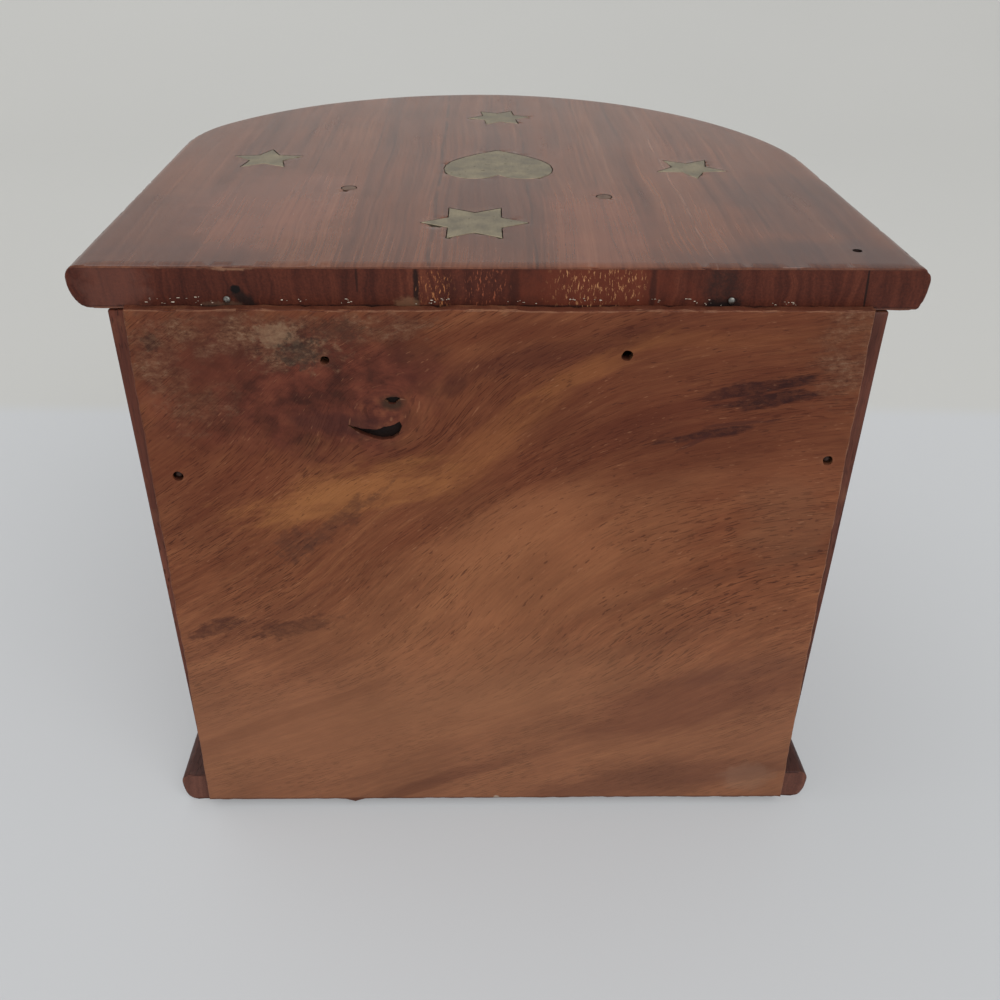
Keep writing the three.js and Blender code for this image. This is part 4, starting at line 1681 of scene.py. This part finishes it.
@dataclass
class Boards:
    """The top and base boards."""

    plan: Plan = field(default_factory=Plan)
    top_nose: Nose = field(default_factory=lambda: Nose(3.3, 3.0, 4.2, right_share=0.5))
    base_nose: Nose = field(default_factory=lambda: Nose(3.5, 3.0, 2.7))
    cap_step: float = 2.4
    chip: float = 0.55

    def board(self, name: str, node: str, nose: Nose, recesses: Sequence[Recess], wear: Wear) -> Stock:
        """A nosed board with recesses in its top face.

        Args:
            name: The piece's name.
            node: The CAD node whose heights it takes.
            nose: The profile of its sides and front.
            recesses: The holes in its top face.
            wear: How it is worn.

        Returns:
            The board, ready to be fitted.
        """
        stock = Stock(name)
        low, high = (corner.z for corner in box_of(node))
        levels = nose.levels(low, high)
        outlines = [self.plan.leaning_outline(left, right) for left, right, _ in levels]
        heights = [z for *_, z in levels]
        stock.skin(
            [
                stock.ring((x, y, z) for x, y in outline)
                for outline, z in zip(outlines, heights, strict=True)
            ]
        )
        rims = [hole.rim for hole in recesses]
        stock.cap(outlines[0], [], self.cap_step * 2, lambda x, y: (x, y, low))
        stock.cap(outlines[-1], rims, self.cap_step, lambda x, y: (x, y, high))
        for hole in recesses:
            self.sink(stock, hole, high)
        stock.weld()
        stock.soften(0.45, least_length=0.0, least_angle=25.0, behind=self.plan.back - 0.01)
        for face in stock.mesh.faces:
            if face.normal.y > 0.8 and face.calc_center_median().y > self.plan.back - 0.4:
                face.material_index = 1
        stock.wear(wear)
        return stock

    def sink(self, stock: Stock, hole: Recess, high: float) -> None:
        """Adds the walls and floor of a recess, in the third finish.

        Args:
            stock: The board.
            hole: The recess.
            high: The height of the board's top face.
        """
        floor = high - hole.depth
        before = len(stock.mesh.faces)
        stock.skin([stock.ring((x, y, z) for x, y in hole.rim) for z in (high, floor)])
        stock.cap(hole.rim, [], self.cap_step * 3, lambda x, y: (x, y, floor))
        stock.mesh.faces.ensure_lookup_table()
        for face in stock.mesh.faces[before:]:
            face.material_index = 2

    def build(self, inlays: "Inlays") -> None:
        """Makes both boards.

        Args:
            inlays: The figures that the top board has recesses for.
        """
        wear = Wear(0.1, chip=self.chip)
        top = self.board("top_board_wood", "top_board", self.top_nose, inlays.recesses(), wear)
        top.fitted(Body.CARCASS, Slot.BOARD, ["top", "end", "filler"], ["top_board"])
        wear = Wear(0.12, chip=self.chip, seed=3)
        base = self.board("base_board_wood", "base_board", self.base_nose, [], wear)
        base.fitted(Body.CARCASS, Slot.BOARD, ["base", "base_end"], ["base_board"])


@dataclass
class Inlays:
    """The brass figures let into the top, each with the dark filler round it."""

    gap: float = 0.12
    back_gap: float = 0.4
    far_back_gap: float = 0.12
    softness: float = 0.15
    nail_hole_gap: float = 0.06
    nail_hole_depth: float = 3.0

    def outlines(self) -> dict[str, list[Flat]]:
        """The rim of each figure's CAD node, counter-clockwise."""
        names = [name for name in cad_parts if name.startswith("inlay_")]
        return {name: self.rim(name) for name in sorted(names)}

    def rim(self, name: str) -> list[Flat]:
        """Reads the upper rim of one figure from its node.

        Args:
            name: The CAD node.

        Returns:
            The rim, counter-clockwise.
        """
        mesh = bmesh.new()
        mesh.from_mesh(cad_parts[name].data)
        bmesh.ops.remove_doubles(mesh, verts=mesh.verts, dist=1e-6)
        highest = max(vert.co.z for vert in mesh.verts)
        top = {vert for vert in mesh.verts if vert.co.z > highest - 1e-5}
        following = {}
        for face in mesh.faces:
            if face.normal.z > 0.5:
                continue
            for loop in face.loops:
                start, end = loop.vert, loop.link_loop_next.vert
                if start in top and end in top:
                    following[end] = start
        start = min(following, key=lambda vert: (vert.co.x, vert.co.y))
        rim, vert = [], start
        while True:
            rim.append((vert.co.x / MM, vert.co.y / MM))
            vert = following[vert]
            if vert is start:
                break
        mesh.free()
        return rim

    def recesses(self) -> list[Recess]:
        """The recesses in the top board.

        Returns:
            One for each figure, a little wider towards the back, and the nail's hole.
        """
        found = []
        for name, rim in self.outlines().items():
            low, high = box_of(name)
            wide = grown(rim, self.gap)
            middle = sum(y for _, y in rim) / len(rim)
            shift = self.back_gap if "star_back" in name else self.far_back_gap
            wide = [(x, y + (shift if y > middle else 0.0)) for x, y in wide]
            found.append(Recess(stepped(wide, 1.0), high.z - low.z + 0.1))
        low, high = box_of("top_nail")
        centre = ((low.x + high.x) / 2, (low.y + high.y) / 2)
        radius = (high.x - low.x) / 2 + self.nail_hole_gap
        found.append(Recess(arc(centre, radius, 0, math.tau, 0.4)[:-1], self.nail_hole_depth))
        return found

    def build(self) -> None:
        """Makes each figure as a plate with a softened, slightly dented face."""
        for i, (name, rim) in enumerate(self.outlines().items()):
            low, high = box_of(name)
            stock = Stock(f"{name}_brass")
            outline = stepped(rim, 0.8)
            inner = grown(outline, -self.softness)
            rings = [(outline, low.z), (outline, high.z - self.softness), (inner, high.z)]
            stock.skin([stock.ring((x, y, z) for x, y in points) for points, z in rings])
            stock.cap(outline, [], 3.0, lambda x, y, z=low.z: (x, y, z))
            stock.cap(inner, [], 0.9, lambda x, y, z=high.z: (x, y, z))
            stock.weld()
            stock.wear(Wear(0.08, reach=6.0, ripple_reach=1.6, seed=i + 1))
            stock.fitted(Body.CARCASS, Slot.INLAY, ["plug" if "dot" in name else "inlay"], [name])


@dataclass
class Panel:
    """The nailed-on back panel, with its nails' holes, a cracked knot and ragged edges."""

    step: float = 1.5
    rounding: float = 0.5
    middle_up: float = 82.0
    nail_hole: float = 1.25
    empty_holes: tuple[Place, ...] = ((-29.0, 151.9, 1.3), (40.1, 150.5, 1.0))
    crack_middle: float = 29.8
    crack_width: float = 13.0
    crack_level: float = 133.7
    crack_lift: float = 0.8
    crack_depth: float = 1.8
    crack_floor: tuple[Flat, ...] = (
        *((0, 0), (0.1, 1.3), (0.25, 2.6), (0.45, 3.9)),
        *((0.62, 4.6), (0.8, 4.5), (0.93, 3.4), (1, 1.2)),
    )
    crack_roof: tuple[Flat, ...] = ((0, 0), (0.25, 1.2), (0.54, 1.7), (0.84, 0.7), (1, -0.3))
    knot: Flat = (28.5, 137.0)
    notch_depth: float = 1.2
    notch_shift: float = 3.2
    notch_half: Flat = (1.5, 0.9)
    ring_dip: float = 0.22
    ring_reach: float = 7.5
    bowl_dip: float = 0.2
    splinter: float = 43.4
    splinter_half: float = 2.6
    splinter_length: float = 1.3

    def outline(self) -> list[Flat]:
        """The panel's ragged rim.

        Returns:
            Its points in x and z, counter-clockwise as seen from the front.
        """
        low, high = box_of("back_panel")
        rim = []
        for x, z in stepped(self.corners(low, high), self.step):
            fine = noise.noise(Vector((x / 3, z / 3, 5)))
            broad = noise.noise(Vector((x / 17, z / 17, 1)))
            inward = Vector((-x, self.middle_up - z)).normalized() * (0.3 + (fine * 0.22 + broad * 0.3))
            rim.append(self.splintered(x + inward.x, z + inward.y))
        return rim

    def corners(self, low: Vector, high: Vector) -> list[Flat]:
        """The four corners of the CAD node's face.

        Args:
            low: The lowest corner of its box.
            high: The highest corner of its box.

        Returns:
            The corners in x and z.
        """
        points = [vert.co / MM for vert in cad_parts["back_panel"].data.vertices]
        top = max(point.x for point in points if point.z > high.z - 0.1)
        return [(-high.x, low.z), (high.x, low.z), (top, high.z), (-top, high.z)]

    def splintered(self, x: float, z: float) -> Flat:
        """A rim point with the splinter that hangs from the lower edge."""
        near = max(0.0, 1 - abs(x - self.splinter) / self.splinter_half)
        return (x, z - self.splinter_length * near) if z < 10 else (x, z)

    def holes(self, through: float) -> list[tuple[list[Flat], float]]:
        """The holes: those of nails, which go through, the crack and the notch.

        Args:
            through: The panel's thickness.

        Returns:
            Each hole's rim, in x and z, and its depth.
        """
        found = []
        for name in ("panel_nail_left", "panel_nail_right"):
            low, high = box_of(name)
            found.append(((low.x + high.x) / 2, (low.z + high.z) / 2, self.nail_hole))
        rims = []
        for x, z, radius in (*found, *self.empty_holes):
            rim = []
            for a, b in arc((0, 0), 1.0, 0, math.tau, 0.4)[:-1]:
                ragged = radius * (1 + 0.22 * noise.noise(Vector((a + x, b, z))))
                rim.append((x + a * ragged, z + b * ragged))
            rims.append((rim, through))
        return [*rims, (self.crack(), self.crack_depth), (self.notch(), self.notch_depth)]

    def crack(self) -> list[Flat]:
        """The crescent that opened under the knot.

        Returns:
            Its rim, from its right end along the lower edge and back along the upper one.
        """
        lower, upper = [], []
        steps = 28
        for i in range(steps + 1):
            share = i / steps
            x = self.crack_middle - self.crack_width * (share - 0.5)
            level = self.crack_level + self.crack_lift * share + 0.12 * noise.noise(Vector((x * 1.3, 0, 3)))
            lower.append((x, level - between(self.crack_floor, share)))
            upper.append((x, level - between(self.crack_roof, share)))
        return lower[:0:-1] + upper[:-1]

    def notch(self) -> list[Flat]:
        """The small torn hollow at the upper edge of the knot.

        Returns:
            Its rim.
        """
        x, z = self.knot[0] - self.notch_shift, self.knot[1] + self.notch_shift
        wide, high = self.notch_half
        angles = [math.tau * i / 14 for i in range(14)]
        return [
            (x + wide * math.cos(a) * (1 + 0.3 * math.sin(3 * a)), z + high * math.sin(a)) for a in angles
        ]

    def dish(self, x: float, z: float) -> float:
        """How deep the face dips at a place: in a ring round the knot, and in a shallow bowl about it."""
        reach = math.hypot((x - self.knot[0]) * 0.85, z - self.knot[1])
        ring = math.exp(-((reach - self.ring_reach) ** 2) / 10)
        return self.ring_dip * ring + self.bowl_dip * math.exp(-(reach**2) / 300)

    def build(self) -> None:
        """Makes the panel."""
        low, high = box_of("back_panel")
        stock = Stock("back_panel_wood")
        outline = self.outline()
        holes = self.holes(high.y - low.y)
        rings = [(grown(outline, -0.3), low.y), (outline, low.y + 0.3)]
        for i in range(4):
            angle = math.pi / 2 * i / 3
            inset = self.rounding * (1 - math.cos(angle))
            rings.append((grown(outline, -inset), high.y - self.rounding * (1 - math.sin(angle))))
        stock.skin([stock.ring((x, y, z) for x, z in points) for points, y in rings])
        through = [rim for rim, depth in holes if depth > high.y - low.y - 0.01]
        stock.cap(rings[0][0], through, self.step * 3, lambda x, z: (x, low.y, z))
        stock.cap(rings[-1][0], [rim for rim, _ in holes], self.step, lambda x, z: (x, high.y, z))
        for rim, depth in holes:
            floor = high.y - depth
            stock.skin([stock.ring((x, y, z) for x, z in rim) for y in (high.y, floor)])
            if rim not in through:
                stock.cap(rim, [], 2.0, lambda x, z, y=floor: (x, y, z))
        stock.weld()
        for vert in stock.mesh.verts:
            if vert.co.y > high.y - 0.05:
                vert.co.y -= self.dish(vert.co.x, vert.co.z)
        stock.wear(Wear(0.1, reach=30.0, ripple=0.05, ripple_reach=4.0, chip=0.5))
        stock.fitted(Body.CARCASS, Slot.PANEL, ["panel"], ["back_panel"])


@dataclass
class Carcass:
    """The side walls and shelves."""

    wall_softness: float = 0.5
    shelf_softness: float = 0.3

    def build(self) -> None:
        """Makes each wall and shelf from its solid."""
        for i, node in enumerate(("side_wall_left", "side_wall_right")):
            stock = Stock.planed(node, self.wall_softness, (0, 5.0, 5.0))
            stock.wear(Wear(0.18, reach=26.0, chip=0.6, seed=11 + i))
            # The wall at the lower x takes the darker copy of the wood, as painted shade on that side.
            finish = "wall" if box_of(node)[0].x > 0 else "wall_in_painted_shade"
            stock.fitted(Body.CARCASS, Slot.WALL, [finish], [node])
        for i, node in enumerate(("shelf_lower", "shelf_upper")):
            stock = Stock.planed(node, self.shelf_softness, (6.0, 6.0, 0))
            for face in stock.mesh.faces:
                face.material_index = int(face.normal.y < -0.3 and abs(face.normal.z) < 0.8)
            stock.wear(Wear(0.1, seed=21 + i))
            stock.fitted(Body.CARCASS, Slot.INNER, ["floor", "front"], [node])


@dataclass
class Nails:
    """The iron nails, with domed and battered heads."""

    steps: int = 20
    slack: float = 0.97

    def nail(self, name: str, axis: Axis, outward: int, finish: str) -> None:
        """Makes one nail whose head faces outward along an axis, by turning its profile.

        Args:
            name: The CAD node's name.
            axis: The axis that it is driven along.
            outward: 1 if its head is at the higher end, otherwise -1.
            finish: The name of its finish.
        """
        low, high = box_of(name)
        first, second = (i for i in range(3) if i != axis.value)
        middle = (low + high) / 2
        head = (high[first] - low[first]) / 2
        length = high[axis.value] - low[axis.value]
        tip = high[axis.value] if outward > 0 else low[axis.value]
        shank = head * 0.62
        profile = [(0.0, 0.05), (head * 0.45, 0.08), (head * 0.85, 0.2), (head * 0.97, 0.34)]
        profile += [(head * 0.93, 0.6), (shank, 0.8), (shank, length - 2.5), (shank * 0.3, length - 0.2)]

        def placed(radius: float, angle: float, depth: float) -> Vector:
            """A point of the nail, a little dented.

            Args:
                radius: Its distance from the nail's axis.
                angle: Its angle round the axis.
                depth: How far it lies below the head's top.

            Returns:
                The point.
            """
            dent = 1 + 0.06 * noise.noise(Vector((math.cos(angle), math.sin(angle), tip)) * 1.5)
            point = Vector(middle)
            point[axis.value] = tip - outward * depth
            point[first] += radius * dent * math.cos(angle) * self.slack
            point[second] += radius * dent * math.sin(angle) * self.slack
            return point

        stock = Stock(f"{name}_iron")
        stock.turn([*profile, (0.0, length)], self.steps, placed)
        stock.fitted(Body.CARCASS, Slot.IRON, [finish], [name], smooth=50)

    def build(self) -> None:
        """Makes every nail."""
        kinds = {
            "base_nail": (Axis.Z, -1, "rust"),
            "panel_nail": (Axis.Y, 1, "rust"),
            "seam_nail": (Axis.Y, 1, "iron"),
            "top_nail": (Axis.Z, 1, "rust"),
        }
        for name in sorted(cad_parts):
            for kind, way in kinds.items():
                if name.startswith(kind):
                    self.nail(name, *way)


@dataclass
class OldGlue:
    """Dried glue that squeezed out in clusters along the seam between the panel and the top board."""

    clusters: tuple[float, ...] = (-78, -73, -69, -66, -47, -35, -17, -14, 4, 18, 21, 34, 43, 47, 64, 66)
    count: int = 5
    spread: float = 1.8
    rise: float = 1.4
    sizes: Flat = (0.05, 0.16)
    dent: float = 0.05
    seed: int = 5

    def build(self) -> None:
        """Makes the specks as one piece of small flattened lumps."""
        chance = random.Random(self.seed)
        panel_high = box_of("back_panel")[1]
        back = box_of("top_board")[1].y
        stock = Stock("seam_glue")
        for across in self.clusters:
            level = panel_high.z + chance.uniform(0.0, self.rise)
            for _ in range(self.count):
                size = chance.uniform(*self.sizes)
                x = chance.gauss(-across, self.spread)
                place = Matrix.Translation((x, back, level + chance.gauss(0.0, 0.3)))
                stretch = Matrix.Diagonal((chance.uniform(1.0, 3.2), 0.7, chance.uniform(0.5, 1.0), 1.0))
                bmesh.ops.create_icosphere(stock.mesh, subdivisions=2, radius=size, matrix=place @ stretch)
        noise.seed_set(self.seed)
        for vert in stock.mesh.verts:
            vert.co += noise.noise_vector(vert.co * 4) * self.dent
        stock.fitted(Body.CARCASS, None, ["glue"], smooth=60)


@dataclass
class Drawer:
    """One drawer, made from its solids: a curved front with a turned knob, a plain box and a lining."""

    body: Body
    seed: float
    ball: float = 5.0
    flange: float = 4.5
    neck: float = 2.2
    shank: float = 1.5
    knob_length: float = 13.5
    rumple: float = 0.3
    floor_share: float = 0.88

    def wooden(self, part: str, finish: str, slot: Slot, softness: float, steps: Place, wear: Wear) -> None:
        """Makes one wooden part.

        Args:
            part: The end of its node's name.
            finish: The name of its finish.
            slot: The record's slot.
            softness: The width of its softened edges.
            steps: How finely it is divided along each axis, or 0.
            wear: How it is worn.
        """
        node = f"{self.body.value}_{part}"
        stock = Stock.planed(node, softness, steps, segments=3, least_length=3.0)
        stock.wear(wear)
        stock.fitted(self.body, slot, [finish], [node])

    def lining(self) -> None:
        """Makes the felt, as a cut sheet that lies on the drawer's floor."""
        node = f"{self.body.value}_lining"
        low, high = box_of(node)
        stock = Stock.from_node(f"{node}_felt", node)
        stock.soften(0.25)
        stock.divide((3.0, 3.0, 0))
        for vert in stock.mesh.verts:
            rumple = 0.5 + 0.5 * noise.noise(Vector((vert.co.x / 14, vert.co.y / 11, self.seed)))
            if vert.co.z > (low.z + high.z) / 2:
                vert.co.z -= self.rumple * rumple
        piece = stock.fitted(self.body, Slot.FELT, ["felt"], [node])

    def knob(self) -> None:
        """Makes the knob by turning its profile round its node's axis."""
        node = f"{self.body.value}_knob"
        low, high = box_of(node)
        middle = (low + high) / 2
        tip = low.y
        seat = tip + self.knob_length
        turn = math.pi - math.asin(self.neck / self.ball)
        profile = [(0.0, tip)]
        for i in range(1, 25):
            angle = turn * i / 24
            profile.append((self.ball * math.sin(angle), tip + self.ball - self.ball * math.cos(angle)))
        profile += [(self.neck * 0.96, seat - 2.6), (self.neck * 1.1, seat - 2.0)]
        profile += [(self.flange * 0.7, seat - 1.45), (self.flange * 0.93, seat - 1.1)]
        profile += [(self.flange, seat - 0.7), (self.flange, seat - 0.1), (self.flange - 0.3, seat)]
        profile += [(self.shank, seat), (self.shank, high.y - 1.0), (0.0, high.y)]

        def placed(radius: float, angle: float, y: float) -> Place:
            """A point of the knob."""
            return (middle.x + radius * math.cos(angle), y, middle.z + radius * math.sin(angle))

        stock = Stock(f"{node}_brass")
        stock.turn(profile, 48, placed)
        stock.fitted(self.body, Slot.KNOB, ["knob"], [node], smooth=40)

    def build(self) -> None:
        """Makes the drawer's parts."""
        self.wooden("front", "front", Slot.FRONT, 0.7, (4.0, 0, 4.0), Wear(0.12, chip=0.4, seed=self.seed))
        for part in ("side_left", "side_right"):
            self.wooden(part, "side", Slot.INNER, 0.35, (0, 8.0, 8.0), Wear(0.1, seed=self.seed + 1))
        self.wooden("back", "floor", Slot.INNER, 0.35, (8.0, 0, 8.0), Wear(0.1, seed=self.seed + 2))
        self.wooden("floor", "floor", Slot.INNER, 0.3, (8.0, 8.0, 0), Wear(0.08, seed=self.seed + 3))
        self.lining()
        self.knob()


@dataclass(frozen=True)
class Lamp:
    """A square soft lamp: where it is and its side, in metres, and its power in watts."""

    name: str
    place: Place
    size: float
    power: float


@dataclass
class Studio:
    """The pale stage, the soft lights and the camera."""

    camera_place: Place = (4.006, 307.147, 251.149)
    yaw: float = 0.0198107
    pitch: float = 0.5762852
    roll: float = -0.0101693
    focal_share: float = 1.02
    sensor: float = 36.0
    sheet_half: float = 3680.0
    floor_end: float = 2200.0
    level_end: float = -400.0
    wall_start: float = -700.0
    wall_radius: float = 700.0
    wall_top: float = 2200.0
    lamps: tuple[Lamp, ...] = (
        Lamp("window", (-0.8, 1.5, 1.7), 1.8, 26.0),
        Lamp("room", (0.9, -0.3, 1.9), 2.0, 12.0),
    )
    room_colour: Colour = (243, 243, 243)
    room_strength: float = 0.62

    def stage(self) -> None:
        """Makes the floor and the backdrop as one sheet that curves up behind the box."""
        profile = [(self.floor_end, 0.0), (self.level_end, 0.0), (self.wall_start, 0.0)]
        for i in range(1, 17):
            angle = math.pi / 2 * i / 16
            reach = self.wall_radius * math.sin(angle)
            profile.append((self.wall_start - reach, self.wall_radius * (1 - math.cos(angle))))
        profile.append((self.wall_start - self.wall_radius, self.wall_top))
        stock = Stock("stage_sheet")
        sides = (-self.sheet_half, self.sheet_half)
        rings = [stock.ring((x, y, z) for y, z in profile) for x in sides]
        stock.bridge(*rings, closed=False)
        bmesh.ops.recalc_face_normals(stock.mesh, faces=stock.mesh.faces)
        stock.as_object(["sheet"])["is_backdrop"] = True

    def camera(self) -> None:
        """Sets the camera where the box was seen from."""
        sin_yaw, cos_yaw = math.sin(self.yaw), math.cos(self.yaw)
        sin_pitch, cos_pitch = math.sin(self.pitch), math.cos(self.pitch)
        forward = Vector((-sin_yaw * cos_pitch, -cos_yaw * cos_pitch, -sin_pitch))
        right = Vector((-cos_yaw, sin_yaw, 0))
        down = forward.cross(right)
        turned_right = right * math.cos(self.roll) + down * math.sin(self.roll)
        turned_down = down * math.cos(self.roll) - right * math.sin(self.roll)
        data = bpy.data.cameras.new("camera")
        data.sensor_fit = "HORIZONTAL"
        data.sensor_width = self.sensor
        data.lens = self.sensor * self.focal_share
        data.clip_start = 0.01
        camera = bpy.data.objects.new("camera", data)
        turn = Matrix((turned_right, -turned_down, -forward)).transposed()
        camera.matrix_world = Matrix.Translation(Vector(self.camera_place) * MM) @ turn.to_4x4()
        bpy.context.scene.collection.objects.link(camera)
        bpy.context.scene.camera = camera

    def lamp(self, lamp: Lamp) -> None:
        """Adds a lamp that looks at the middle of the box.

        Args:
            lamp: The lamp.
        """
        data = bpy.data.lights.new(lamp.name, "AREA")
        data.size = lamp.size
        data.energy = lamp.power
        made = bpy.data.objects.new(lamp.name, data)
        middle = (CAD_BOX[0] + CAD_BOX[1]) / 2
        made.location = lamp.place
        made.rotation_euler = (middle - Vector(lamp.place)).to_track_quat("-Z", "Y").to_euler()
        bpy.context.scene.collection.objects.link(made)

    def light(self) -> None:
        """Adds the lamps and the even light all round."""
        for lamp in self.lamps:
            self.lamp(lamp)
        world = bpy.data.worlds.new("room_light")
        world.use_nodes = True
        background = world.node_tree.nodes["Background"]
        background.inputs["Color"].default_value = linear(self.room_colour)
        background.inputs["Strength"].default_value = self.room_strength
        bpy.context.scene.world = world

    def build(self) -> None:
        """Sets the whole stage."""
        self.stage()
        self.camera()
        self.light()
        bpy.context.scene.view_settings.view_transform = "Standard"


def main() -> None:
    """Builds the stage and the box in order."""
    logging.basicConfig(level=logging.INFO, format="%(name)s: %(message)s")
    Studio().build()
    inlays = Inlays()
    Boards().build(inlays)
    inlays.build()
    Panel().build()
    Carcass().build()
    Nails().build()
    OldGlue().build()
    for i, body in enumerate((Body.DRAWER_LOWER, Body.DRAWER_MIDDLE, Body.DRAWER_UPPER)):
        Drawer(body, 31.0 + 7 * i).build()
    sizes = {"cad": CAD_BOX, "visual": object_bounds()}
    plain = {name: [list(corner) for corner in corners] for name, corners in sizes.items()}


if __name__ == "__main__":
    main()
